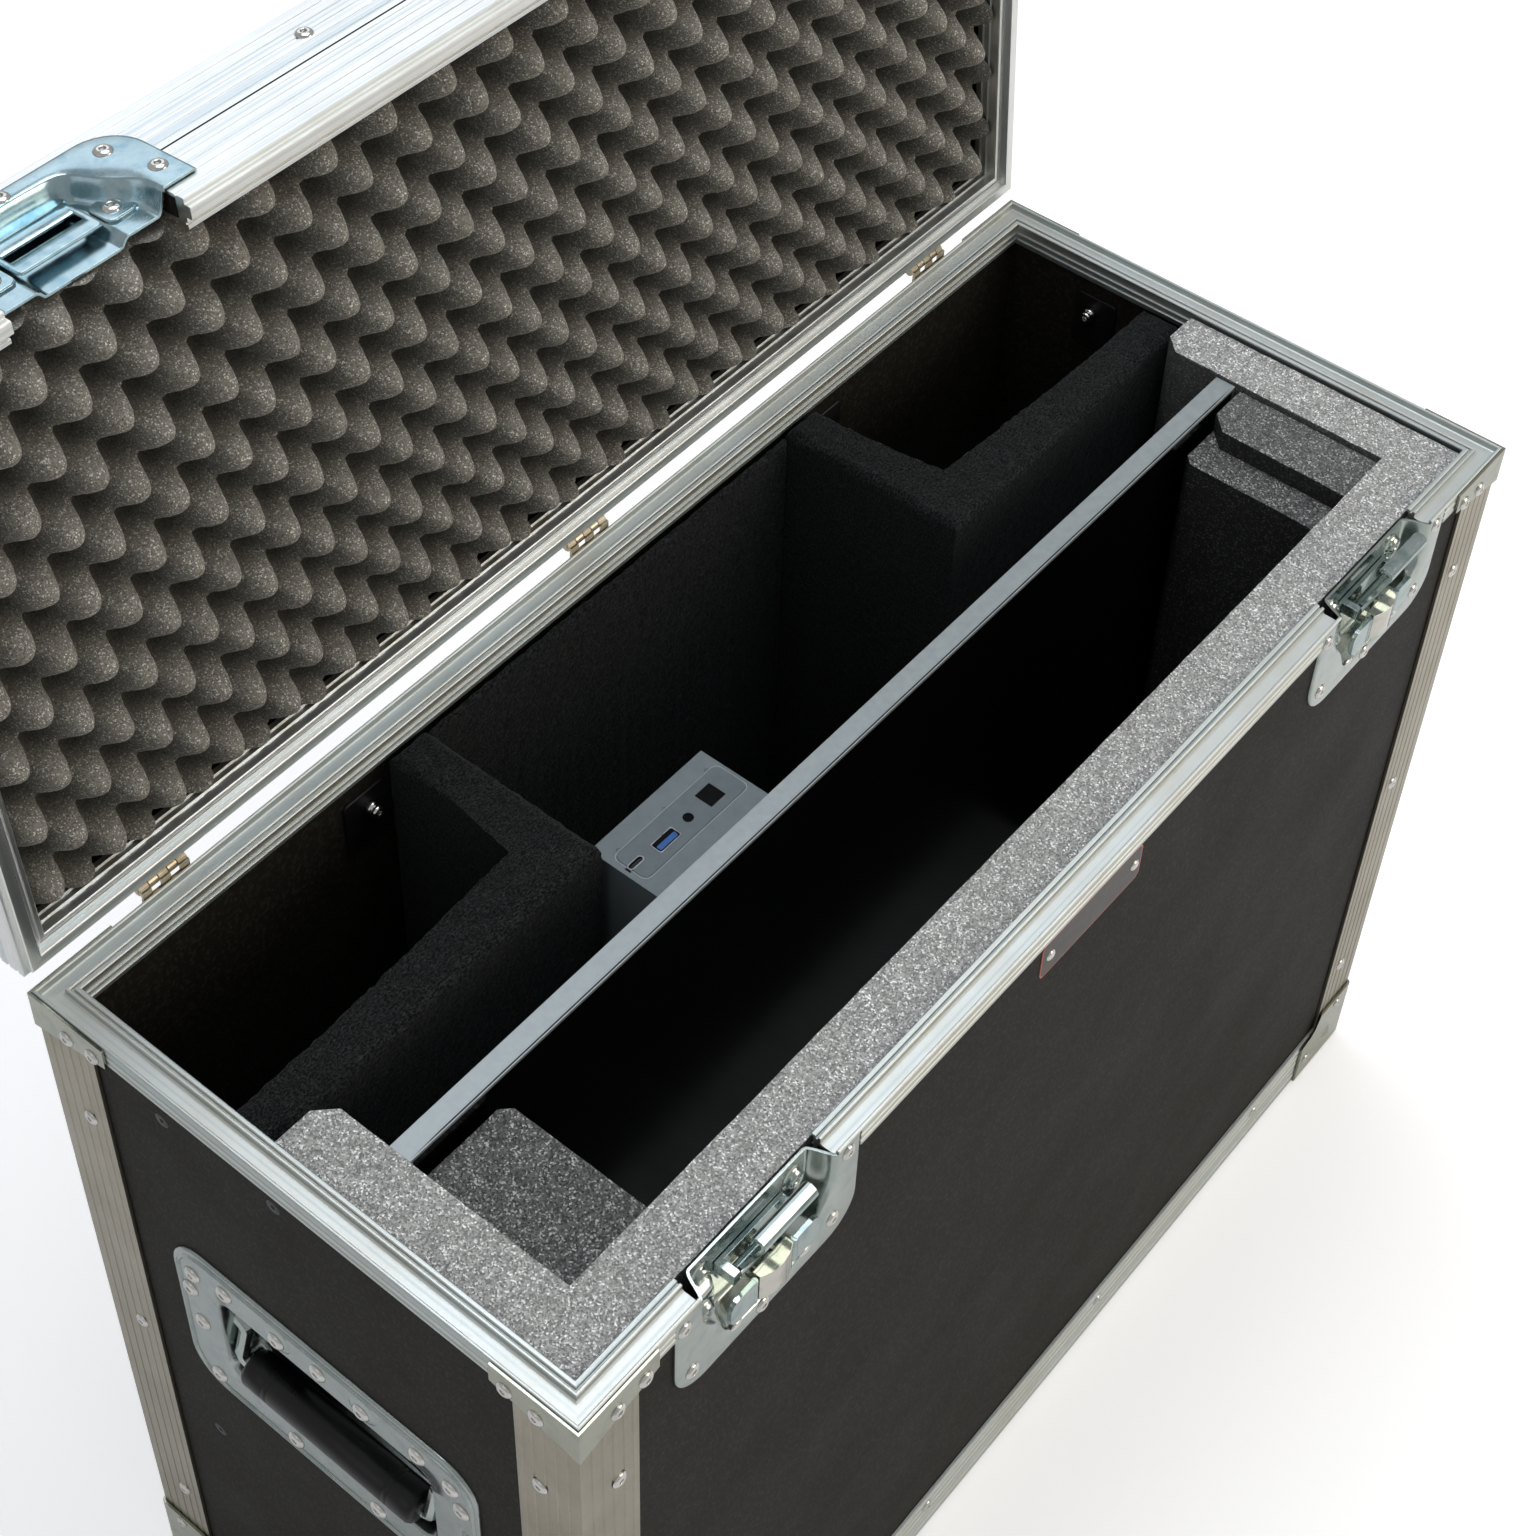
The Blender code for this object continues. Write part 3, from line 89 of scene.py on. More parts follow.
# %% [markdown]
# Colours are written as hex values, as a colour picker shows them. Shaders work in linear
# light, so one function converts each. A material is a tree of nodes, and one function adds a
# node, sets it and links it. A step that most finishes need, to go from one colour to another
# as a pattern climbs, is a function as well.

# %% Colours and nodes


def colour(code):
    channels = [int(code[start:start + 2], 16) / 255 for start in (1, 3, 5)]
    linear = [c / 12.92 if c <= 0.04045 else ((c + 0.055) / 1.055) ** 2.4 for c in channels]
    return (*linear, 1.0)


def plug(tree, node, links):
    # Links or sets sockets. A text is a hex colour, and a node stands for its first output.
    for socket, value in links.items():
        if isinstance(value, str):
            value = colour(value)
        if isinstance(value, bpy.types.Node):
            value = value.outputs[0]
        if isinstance(value, bpy.types.NodeSocket):
            tree.links.new(value, node.inputs[socket])
        else:
            node.inputs[socket].default_value = value


def add(tree, kind, links=None, **settings):
    node = tree.nodes.new("ShaderNode" + kind)
    for name, value in settings.items():
        setattr(node, name, value)
    plug(tree, node, links or {})
    return node


def new_material(name):
    made = bpy.data.materials.new(name)
    made.use_nodes = True
    return made, made.node_tree, made.node_tree.nodes["Principled BSDF"]


def tinted(tree, pattern, low, high, first, second, most=1.0):
    # The first colour where the pattern is low, and up to the second where it is high.
    share = add(tree, "MapRange", {"Value": pattern, "From Min": low, "From Max": high,
                                   "To Max": most})
    return add(tree, "Mix", {0: share, 6: first, 7: second}, data_type="RGBA").outputs[2]


def per_metre(size_mm):
    # How many grains of a real size fit in a metre, which is what a pattern's scale asks for.
    return 1 / (size_mm * MM)


print("white is", colour("#ffffff"))

# %% [markdown]
# The camera stands at the front left corner, above the case, and looks down into it. Its place
# and directions were worked out from straight edges of known length. The small shift keeps the
# case where it stands in the picture without turning the camera.

# %% Camera
camera_place = Vector((-0.71317, -0.50337, 1.47199))
camera_forward = Vector((0.55274, 0.43877, -0.70850)).normalized()
camera_right = Vector((0.63698, -0.77063, 0.01970)).normalized()
camera_up = camera_right.cross(camera_forward)
camera_data = bpy.data.cameras.new("camera")
camera_data.sensor_width = 36
camera_data.lens = 66.2
camera_data.shift_x = 0.0209
camera_data.shift_y = -0.1459
camera = bpy.data.objects.new("camera", camera_data)
bpy.context.scene.collection.objects.link(camera)
camera_turn = Matrix((camera_right, camera_up, -camera_forward)).transposed().to_4x4()
camera.matrix_world = Matrix.Translation(camera_place) @ camera_turn
bpy.context.scene.camera = camera
print("camera lens", camera_data.lens)

# %% [markdown]
# Soft studio light: one broad panel overhead, one before the case, one behind it that the lid's
# rail mirrors, and a weak one from the left. Polished metal shows whatever surrounds it, so the
# panels also draw the long highlights on the aluminium.

# %% Light
view = bpy.context.scene.view_settings
view.view_transform = "Standard"
panel_lights = (("overhead_light", (0.3, 0.2, 2.6), (0.0, 0.0, 0.4), 1.6, 1.2, 27, "#f1f6ff"),
                ("front_light", (1.2, -2.2, 1.5), (0.0, 0.0, 0.3), 1.4, 1.4, 23, "#fff2e0"),
                ("rear_light", (1.1, 2.0, 2.3), (0.0, 0.2, 0.6), 1.7, 1.2, 7, "#ecf3ff"),
                ("left_light", (-2.6, 0.2, 1.6), (0.0, 0.0, 0.4), 1.2, 1.2, 1.5, "#eef4ff"))
for name, stands_at, aims_at, width, height, watts, tint in panel_lights:
    light = bpy.data.lights.new(name, "AREA")
    light.shape = "RECTANGLE"
    light.size = width
    light.size_y = height
    light.energy = watts
    light.color = colour(tint)[:3]
    lamp = bpy.data.objects.new(name, light)
    bpy.context.scene.collection.objects.link(lamp)
    toward = Vector(aims_at) - Vector(stands_at)
    lamp.matrix_world = (Matrix.Translation(Vector(stands_at))
                         @ toward.to_track_quat("-Z", "Y").to_matrix().to_4x4())
print("panels of light", len(panel_lights))

# %% [markdown]
# The room is pale. A world of full white would wash the case out, so the world lights it at less
# than half strength and is white only to the camera. The floor is matt and nearly white. It
# keeps the shadow of the case, and glows a little towards the camera so that it looks white.

# %% Room and floor
room_level = 0.44
floor_glow = 0.34
floor_reach = 6.0
world = bpy.data.worlds.new("pale_room")
bpy.context.scene.world = world
world.use_nodes = True
tree = world.node_tree
rays = add(tree, "LightPath")
seen = add(tree, "Math", {0: rays.outputs["Is Camera Ray"], 1: rays.outputs["Is Transmission Ray"]},
           operation="MAXIMUM")
room_strength = add(tree, "MapRange", {"Value": seen, "To Min": room_level, "To Max": 1.0})
plug(tree, tree.nodes["Background"], {"Color": "#ffffff", "Strength": room_strength})

floor_material, tree, shader = new_material("pale_floor")
rays = add(tree, "LightPath")
glow = add(tree, "Math", {0: rays.outputs["Is Camera Ray"], 1: floor_glow}, operation="MULTIPLY")
plug(tree, shader, {"Base Color": "#f2f2f2", "Roughness": 0.9, "Specular IOR Level": 0.1,
                    "Emission Color": "#ffffff", "Emission Strength": glow})
floor_z = solid_box[0].z
floor_mesh = bpy.data.meshes.new("floor")
floor_corners = [(x * floor_reach, y * floor_reach, floor_z)
                 for x, y in ((-1, -1), (1, -1), (1, 1), (-1, 1))]
floor_mesh.from_pydata(floor_corners, [], [(0, 1, 2, 3)])
floor_mesh.materials.append(floor_material)
floor = bpy.data.objects.new("floor", floor_mesh)
bpy.context.scene.collection.objects.link(floor)
print("floor at", round(floor_z / MM, 1), "mm")

# %% [markdown]
# Every pattern is measured in metres on the object. Lid pieces are turned back to the shut
# frame first, so that one recipe serves base and lid.

# %% Where a pattern lies


def place_on_object(tree, on_lid=False):
    here = add(tree, "TexCoord").outputs["Object"]
    if not on_lid:
        return here
    return add(tree, "VectorRotate", {"Vector": here, "Center": lid_axis, "Axis": (1, 0, 0),
                                      "Angle": lid_open}, rotation_type="AXIS_ANGLE").outputs[0]


print("the lid's patterns turn by", round(math.degrees(lid_open)), "degrees")

# %% [markdown]
# Aluminium sections, extruded and clear anodised: a satin grey metal with fine lines that the
# die leaves along its length. The lines are drawn 0.3 mm apart, several times coarser than real
# ones, which would not show. Broader streaks of painted reflection lie along them too, where the
# section mirrors the room unevenly. Lines and streaks must turn at each mitred corner, so on a
# frame the four sides are told apart by their distance from the edge. A dark line of painted
# shade runs along the seam of the lid's rail. The metal keeps Blender's default IOR.

# %% Anodised aluminium
die_line_mm, die_line_long_mm = 0.3, 900.0
streak_mm, streak_long_mm = 3.2, 700.0
lid_seam_shade_z = rim_top + 31.2 * MM


def aluminium_material(name, run, tints, rough=0.27, streak=None, on_lid=False, seam_shade_z=None):
    # run is the axis of the die lines, or "ring" where they follow the four sides.
    made, tree, shader = new_material(name)
    place = place_on_object(tree, on_lid)
    axes = add(tree, "SeparateXYZ", {0: place})

    def away(axis, middle=0.0):
        gap = add(tree, "Math", {0: axes.outputs[axis], 1: middle}, operation="SUBTRACT")
        return add(tree, "Math", {0: gap}, operation="ABSOLUTE")

    def straight_lines(axis, line_mm, long_mm):
        across = [per_metre(line_mm)] * 3
        across[axis] = per_metre(long_mm)
        pulled = add(tree, "VectorMath", {0: place, 1: across}, operation="MULTIPLY")
        return add(tree, "TexNoise", {"Vector": pulled, "Scale": 1.0, "Detail": 2.0})

    def drawn_lines(line_mm, long_mm):
        if run != "ring":
            return straight_lines("xyz".index(run), line_mm, long_mm)
        gap_x = add(tree, "Math", {0: half_x, 1: away("X")}, operation="SUBTRACT")
        gap_y = add(tree, "Math", {0: half_y, 1: away("Y")}, operation="SUBTRACT")
        on_end = add(tree, "Math", {0: gap_x, 1: gap_y}, operation="LESS_THAN")
        return add(tree, "Mix", {0: on_end, 2: straight_lines(0, line_mm, long_mm),
                                 3: straight_lines(1, line_mm, long_mm)})

    drawn = drawn_lines(die_line_mm, die_line_long_mm)
    patches = add(tree, "TexNoise", {"Vector": place, "Scale": per_metre(45), "Detail": 4.0,
                                     "Roughness": 0.6})
    tone = tinted(tree, drawn, 0.3, 0.7, tints[0], tints[1])
    tone = tinted(tree, patches, 0.35, 0.7, tone, tints[2])
    # Painted reflection: broader streaks mixed into the colour.
    if streak:
        tone = tinted(tree, drawn_lines(streak_mm, streak_long_mm), 0.50, 0.64, tone, streak, 0.85)
    # Painted shade: a dark line along the seam of the lid's rail.
    if seam_shade_z is not None:
        tone = tinted(tree, away("Z", seam_shade_z), 0.6 * MM, 0.4 * MM, tone, "#191b1c")
    rubbed = add(tree, "VectorMath", {0: place, 1: (3.0, 3.0, 0.6)}, operation="MULTIPLY")
    marks = add(tree, "TexNoise", {"Vector": rubbed, "Scale": per_metre(2.5), "Detail": 5.0,
                                   "Roughness": 0.7})
    line_rough = add(tree, "MapRange", {"Value": drawn, "From Min": 0.3, "From Max": 0.7,
                                        "To Min": rough, "To Max": rough + 0.07})
    mark_rough = add(tree, "MapRange", {"Value": marks, "From Min": 0.4, "From Max": 0.75,
                                        "To Max": 0.10})
    roughness = add(tree, "Math", {0: line_rough, 1: mark_rough}, operation="ADD")
    edges = add(tree, "Bevel", {"Radius": 0.25 * MM}, samples=4)
    normal = add(tree, "Bump", {"Height": drawn, "Distance": 0.006 * MM, "Strength": 0.4,
                                "Normal": edges})
    plug(tree, shader, {"Base Color": tone, "Metallic": 1.0, "Roughness": roughness,
                        "Normal": normal})
    return made


# Three copies of one aluminium: the lid's is lighter, as painted light from the bright panel its rail
# mirrors, and the uprights' is darker and warmer, as painted shade with a painted warm reflection.
base_aluminium = aluminium_material("anodised_aluminium_ring", "ring",
                                    ("#c9cecc", "#d6dad6", "#c8c9c2"), 0.45, "#b6bfbf")
shaded_post_aluminium = aluminium_material("anodised_aluminium_upright_shaded", "z",
                                    ("#a49e8f", "#b0aa9b", "#9a9382"))
lit_lid_aluminium = aluminium_material("anodised_aluminium_lid_lit", "ring",
                                   ("#ebedeb", "#f3f4f2", "#e5e6e2"), streak="#cdd7da",
                                   on_lid=True, seam_shade_z=lid_seam_shade_z)
print("aluminium lines", die_line_mm, "mm apart")

# %% [markdown]
# Fittings are deep drawn mild steel with bright zinc plating. Thin passivated zinc is faintly
# blue and green, and mottled where the bath flowed. Roughness stays low, so bends glint. Each
# family of fittings came from its own bath, so each has its own tints.

# %% Zinc plated steel


def zinc_material(name, tints, rough=0.16, on_lid=False):
    made, tree, shader = new_material(name)
    place = place_on_object(tree, on_lid)
    flow = add(tree, "TexNoise", {"Vector": place, "Scale": per_metre(22), "Detail": 5.0,
                                  "Roughness": 0.62})
    mottle = add(tree, "TexNoise", {"Vector": place, "Scale": per_metre(9), "Detail": 3.0})
    tone = tinted(tree, flow, 0.35, 0.65, tints[0], tints[1])
    tone = tinted(tree, mottle, 0.5, 0.72, tone, tints[2])
    rubbed = add(tree, "VectorMath", {0: place, 1: (1.0, 1.0, 4.0)}, operation="MULTIPLY")
    scuffs = add(tree, "TexNoise", {"Vector": rubbed, "Scale": per_metre(3), "Detail": 6.0,
                                    "Roughness": 0.72})
    flow_rough = add(tree, "MapRange", {"Value": flow, "From Min": 0.3, "From Max": 0.7,
                                        "To Min": rough - 0.05, "To Max": rough + 0.06})
    scuff_rough = add(tree, "MapRange", {"Value": scuffs, "From Min": 0.5, "From Max": 0.8,
                                         "To Max": 0.14})
    roughness = add(tree, "Math", {0: flow_rough, 1: scuff_rough}, operation="ADD")
    grain = add(tree, "TexNoise", {"Vector": place, "Scale": per_metre(0.8), "Detail": 2.0})
    edges = add(tree, "Bevel", {"Radius": 0.4 * MM}, samples=4)
    normal = add(tree, "Bump", {"Height": grain, "Distance": 0.015 * MM, "Strength": 0.35,
                                "Normal": edges})
    plug(tree, shader, {"Base Color": tone, "Metallic": 1.0, "Roughness": roughness,
                        "Normal": normal})
    return made


base_zinc = zinc_material("zinc_plated_steel", ("#aab3ad", "#b8bfba", "#9eaba9"))
lid_zinc = zinc_material("zinc_plated_steel_lid", ("#9ab1b8", "#b2c8ce", "#88a8b3"), 0.17, True)
handle_zinc = zinc_material("zinc_plated_steel_handle", ("#a3aca9", "#aeb5b3", "#99a4a5"), 0.2)
catch_zinc = zinc_material("zinc_plated_steel_catch", ("#a4b3b1", "#b9c6c4", "#8fa3a5"), 0.11)
brace_zinc = zinc_material("zinc_plated_steel_brace", ("#a3a596", "#b0b2a4", "#969b8d"), 0.2)
rivet_zinc = zinc_material("rivet_steel", ("#cfcec9", "#dedcd8", "#c2c1bb"))
hinge_zinc = zinc_material("hinge_steel", ("#b5a98f", "#cbc2ae", "#9d927c"), 0.30)
drum_zinc = zinc_material("zinc_plated_steel_drum", ("#cbc9bf", "#d9d7cd", "#b4b6ac"), 0.14)
print("steel finishes", 8)

# %% [markdown]
# The drum on each latch's hub is folded from sheet, so its face shows upright folds. They are
# too shallow to change its outline, so a wave in the surface normal is enough.

# %% Folds on the drums
fold_mm = 11.0
texture_wave = 0.314  # one wave of Blender's wave texture, in metres at a scale of 1
tree = drum_zinc.node_tree
shader = tree.nodes["Principled BSDF"]
folds = add(tree, "TexWave", {"Vector": place_on_object(tree), "Scale": texture_wave * per_metre(fold_mm),
                              "Distortion": 0.0, "Detail": 0.0}, bands_direction="X")
plain_normal = shader.inputs["Normal"].links[0].from_socket
folded = add(tree, "Bump", {"Height": folds.outputs["Fac"], "Distance": 0.5 * MM, "Strength": 0.8,
                            "Normal": plain_normal})
plug(tree, shader, {"Normal": folded})
print("drum folds", fold_mm, "mm apart")

# %% [markdown]
# The panels are birch plywood under a black resin film with a fine leathery grain. The grain is
# about 1 mm across. The film is nearly black but warm. Dusty patches and paler flecks, 2 mm
# across, lift it a little.

# %% Black panel skin


def panel_material(name, on_lid=False):
    made, tree, shader = new_material(name)
    place = place_on_object(tree, on_lid)
    grain = add(tree, "TexNoise", {"Vector": place, "Scale": per_metre(0.9), "Detail": 2.0,
                                   "Roughness": 0.55})
    dust = add(tree, "TexNoise", {"Vector": place, "Scale": per_metre(60), "Detail": 6.0,
                                  "Roughness": 0.62})
    flecks = add(tree, "TexNoise", {"Vector": place, "Scale": per_metre(1.9), "Detail": 2.0})
    tone = tinted(tree, dust, 0.35, 0.7, "#1d1b18", "#211f1b")
    tone = tinted(tree, flecks, 0.50, 0.68, tone, "#302e28")
    roughness = add(tree, "MapRange", {"Value": dust, "From Min": 0.3, "From Max": 0.7,
                                       "To Min": 0.58, "To Max": 0.68})
    normal = add(tree, "Bump", {"Height": grain, "Distance": 0.08 * MM, "Strength": 0.6})
    plug(tree, shader, {"Base Color": tone, "Roughness": roughness, "Specular IOR Level": 0.12,
                        "Normal": normal})
    return made


base_panel_skin = panel_material("black_panel_skin")
lid_panel_skin = panel_material("black_panel_skin_lid", on_lid=True)
print("panel skin ready")

# %% [markdown]
# The end and front blocks are closed cell polyethylene foam, saw cut. Cut cells of just under
# 1 mm catch the light one by one, so the grey glitters: a cell pattern gives each its own
# brightness, and a few of them get a painted glint. The upright faces get painted shade, as less
# light reaches them. The lower steps lie in the shade of the walls, so their foam is painted
# darker: painted shade.

# %% Closed cell foam
cell_mm = 0.78


def foam_material(name, dark, light, glint, side):
    # The colours of cut cells in shade, in light and with a painted glint, and the painted shade of the
    # upright faces.
    made, tree, shader = new_material(name)
    place = place_on_object(tree)
    wobble = add(tree, "TexNoise", {"Vector": place, "Scale": 900.0}).outputs["Color"]
    small = add(tree, "VectorMath", {0: wobble, 1: (0.6 * MM,) * 3}, operation="MULTIPLY")
    warped = add(tree, "VectorMath", {0: place, 1: small}, operation="ADD")
    cells = add(tree, "TexVoronoi", {"Vector": warped, "Scale": per_metre(cell_mm)})
    pick = add(tree, "SeparateColor", {0: cells.outputs["Color"]})
    clumps = add(tree, "TexNoise", {"Vector": place, "Scale": per_metre(7), "Detail": 3.0,
                                    "Roughness": 0.6})
    # Painted glint: a few cells turn near white and glossier.
    painted_glint_share = add(tree, "MapRange", {"Value": pick.outputs[1], "From Min": 0.80, "From Max": 0.95})
    tone = add(tree, "Mix", {0: pick, 6: dark, 7: light}, data_type="RGBA").outputs[2]
    tone = add(tree, "Mix", {0: painted_glint_share, 6: tone, 7: glint}, data_type="RGBA").outputs[2]
    tone = tinted(tree, clumps, 0.62, 0.40, tone, dark, 0.35)
    # Painted shade: faces that do not look upward are darker.
    facing = add(tree, "NewGeometry").outputs["True Normal"]
    upward = add(tree, "SeparateXYZ", {0: facing}).outputs["Z"]
    tone = tinted(tree, upward, 0.7, 0.25, tone, side, 0.85)
    roughness = add(tree, "MapRange", {"Value": painted_glint_share, "To Min": 0.75, "To Max": 0.4})
    normal = add(tree, "Bump", {"Height": cells, "Distance": 0.4 * MM, "Strength": 0.8})
    plug(tree, shader, {"Base Color": tone, "Roughness": roughness, "Specular IOR Level": 0.3,
                        "Normal": normal})
    return made


grey_foam = foam_material("closed_cell_foam", "#6e6f6d", "#bfbfbb", "#ffffff", "#232424")
# The step and tier copies are painted darker, as painted shade.
shaded_step_foam = foam_material("closed_cell_foam_step_painted_shade", "#2b2c2b", "#727370", "#b8b9b5", "#0e0e0e")
shaded_tier_foam = foam_material("closed_cell_foam_tier_painted_shade", "#3a3b3a", "#767774", "#b2b3b0", "#0e0e0e")
print("foam cells", cell_mm, "mm wide")

# %% [markdown]
# The lid's foam is open cell polyurethane, cut into waves. It is dark grey with a fine speckle
# and matt. Its hollows are painted darker than its crowns, as painted shade, because little light
# comes back out of them, and only the crowns get a painted glint.

# %% Open cell foam
pore_mm = 0.55
wave_foam, tree, shader = new_material("open_cell_foam")
place = place_on_object(tree, on_lid=True)
fine = add(tree, "TexNoise", {"Vector": place, "Scale": per_metre(0.9), "Detail": 3.0,
                              "Roughness": 0.62})
pores = add(tree, "TexVoronoi", {"Vector": place, "Scale": per_metre(pore_mm)})
pick = add(tree, "SeparateColor", {0: pores.outputs["Color"]})
above = add(tree, "SeparateXYZ", {0: place}).outputs["Z"]
# Painted shade: the lower the foam in its hollows, the darker its colour.
crown = add(tree, "MapRange", {"Value": above, "From Min": rim_top + 22 * MM,
                               "From Max": rim_top + 1 * MM})
hollow_shade_tone = tinted(tree, fine, 0.3, 0.7, "#31302c", "#504d46")
crown_lit_tone = tinted(tree, fine, 0.3, 0.7, "#5e5b54", "#989489")
tone = add(tree, "Mix", {0: crown, 6: hollow_shade_tone, 7: crown_lit_tone}, data_type="RGBA").outputs[2]
# Painted glint: near white cells, on the crowns only.
glints = add(tree, "MapRange", {"Value": pick, "From Min": 0.84, "From Max": 0.97, "To Max": 0.95})
painted_glint_share = add(tree, "Math", {0: glints, 1: crown}, operation="MULTIPLY")
tone = add(tree, "Mix", {0: painted_glint_share, 6: tone, 7: "#e0ddd6"}, data_type="RGBA").outputs[2]
tone = tinted(tree, pick.outputs[1], 0.12, 0.0, tone, "#121111", 0.6)
normal = add(tree, "Bump", {"Height": fine, "Distance": 0.35 * MM, "Strength": 0.6})
plug(tree, shader, {"Base Color": tone, "Roughness": 0.9, "Specular IOR Level": 0.15,
                    "Normal": normal, "Sheen Weight": 0.12, "Sheen Roughness": 0.6})
print("foam pores", pore_mm, "mm wide")

# %% [markdown]
# Dividers wear black needle felt carpet: loose polyester fibres, matt and fuzzy. Sheen gives
# the pale edge that fibres show at a grazing angle.

# %% Black carpet
carpet, tree, shader = new_material("needle_felt_carpet")
place = place_on_object(tree)
combed = add(tree, "VectorMath", {0: place, 1: (1.0, 1.7, 1.0)}, operation="MULTIPLY")
fibre = add(tree, "TexNoise", {"Vector": combed, "Scale": per_metre(1.5), "Detail": 4.0,
                               "Roughness": 0.72})
tufts = add(tree, "TexNoise", {"Vector": place, "Scale": per_metre(4), "Detail": 3.0,
                               "Roughness": 0.6})
tone = tinted(tree, fibre, 0.42, 0.68, "#040505", "#3a3c3c")
tone = tinted(tree, tufts, 0.35, 0.65, tone, "#0e0f0f", 0.5)
height = add(tree, "Math", {0: fibre, 1: tufts}, operation="ADD")
normal = add(tree, "Bump", {"Height": height, "Distance": 1.2 * MM, "Strength": 0.9})
plug(tree, shader, {"Base Color": tone, "Roughness": 0.95, "Specular IOR Level": 0.1,
                    "Normal": normal, "Sheen Weight": 0.36, "Sheen Roughness": 0.4,
                    "Sheen Tint": "#66696a"})
print("carpet ready")

# %% [markdown]
# The rest: a moulded vinyl grip, blackened screws, a screen of coated glass, the monitor's
# anodised edge and its moulded ABS housing, port shells, and the plate on the front. They are
# nearly plain, so one recipe serves them all: two close colours in a fine grain, and broader
# wear that varies the gloss.

# %% Small finishes
wear_grains = 14


def plain_finish(name, low, high, grain_mm, rough, metallic=0.0, depth_mm=0.02, level=0.5):
    made, tree, shader = new_material(name)
    place = place_on_object(tree)
    grain = add(tree, "TexNoise", {"Vector": place, "Scale": per_metre(grain_mm), "Detail": 3.0,
                                   "Roughness": 0.55})
    wear = add(tree, "TexNoise", {"Vector": place, "Scale": per_metre(grain_mm * wear_grains),
                                  "Detail": 5.0, "Roughness": 0.62})
    tone = tinted(tree, wear, 0.35, 0.65, low, high)
    roughness = add(tree, "MapRange", {"Value": wear, "From Min": 0.3, "From Max": 0.7,
                                       "To Min": rough - 0.04, "To Max": rough + 0.06})
    edges = add(tree, "Bevel", {"Radius": 0.2 * MM}, samples=4)
    normal = add(tree, "Bump", {"Height": grain, "Distance": depth_mm * MM, "Strength": 0.5,
                                "Normal": edges})
    plug(tree, shader, {"Base Color": tone, "Metallic": metallic, "Specular IOR Level": level,
                        "Roughness": roughness, "Normal": normal})
    return made


grip_vinyl = plain_finish("moulded_vinyl", "#0c0c0d", "#101011", 0.7, 0.3, 0.0, 0.01, 0.35)
black_screw = plain_finish("blackened_screw", "#17181a", "#26282b", 0.5, 0.42, 0.6)
bracket_black = plain_finish("black_bracket_steel", "#121212", "#1d1d1d", 0.6, 0.48, 0.4)
housing_abs = plain_finish("moulded_abs", "#687376", "#707a7d", 0.5, 0.46, 0.0, 0.03)
button_abs = plain_finish("gloss_button_abs", "#050506", "#08090a", 0.5, 0.28, level=0.12)
edge_metal = plain_finish("anodised_monitor_edge", "#959d9f", "#9da5a6", 0.3, 0.42, 0.5)
screen_glass = plain_finish("coated_screen_glass", "#010102", "#020203", 40.0, 0.14, 0.0, 0.0, 0.2)
port_panel_abs = plain_finish("satin_port_panel", "#5f6a6d", "#667073", 0.4, 0.40)
port_steel = plain_finish("port_shell_steel", "#9a9ea4", "#b8bcc2", 0.3, 0.30, 1.0)
port_blue = plain_finish("port_tongue_plastic", "#1f5596", "#2860a2", 0.3, 0.40)
plate_ground = plain_finish("dark_plate_film", "#393733", "#423f3a", 0.4, 0.38, 0.3)
plate_border = plain_finish("red_plate_border", "#a8554b", "#b36056", 0.4, 0.40)
print("small finishes", 12)

# %% [markdown]
# Solids whose shape is already right keep their mesh and take the finish that fits. A part of
# each name says which family it belongs to. The first family that fits counts.

# %% Finishes on the solids
finish_families = (("grip", grip_vinyl), ("power_button", button_abs), ("monitor_frame", edge_metal),
                   ("monitor_housing", housing_abs), ("hinge", hinge_zinc),
                   ("lid_rim", lit_lid_aluminium), ("lid_edges", lit_lid_aluminium),
                   ("base_rim", base_aluminium), ("bottom_edges", base_aluminium),
                   ("_post", shaded_post_aluminium), ("lid_shell", lid_panel_skin),
                   ("_panel", base_panel_skin), ("_latch_hub", drum_zinc), ("_latch_", catch_zinc),
                   ("_brace", brace_zinc), ("ball_corner", brace_zinc), ("", base_zinc))
for name, node in nodes.items():
    finish = next(finish for words, finish in finish_families if words in name)
    for slot in node.material_slots:
        slot.material = finish
print("finished", len(nodes), "solids")

# %% [markdown]
# A helper turns a bmesh into a piece: it places the shape, gives it a finish and lets it ride
# on the body that carries it. Pieces of the lid are drawn shut and their mesh is turned open.

# %% Pieces


def new_piece(name, shape, finish, body, smooth_below, stand=None):
    if stand is not None:
        bmesh.ops.transform(shape, matrix=stand, verts=shape.verts)
    bmesh.ops.recalc_face_normals(shape, faces=shape.faces)
    mesh = bpy.data.meshes.new(name)
    shape.to_mesh(mesh)
    shape.free()
    if body == "lid":
        mesh.transform(lid_matrix)
    mesh.materials.append(finish)
    mesh.shade_smooth()
    mesh.set_sharp_from_angle(angle=math.radians(smooth_below))
    made = bpy.data.objects.new(name, mesh)
    bpy.context.scene.collection.objects.link(made)
    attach(made, body)
    return made


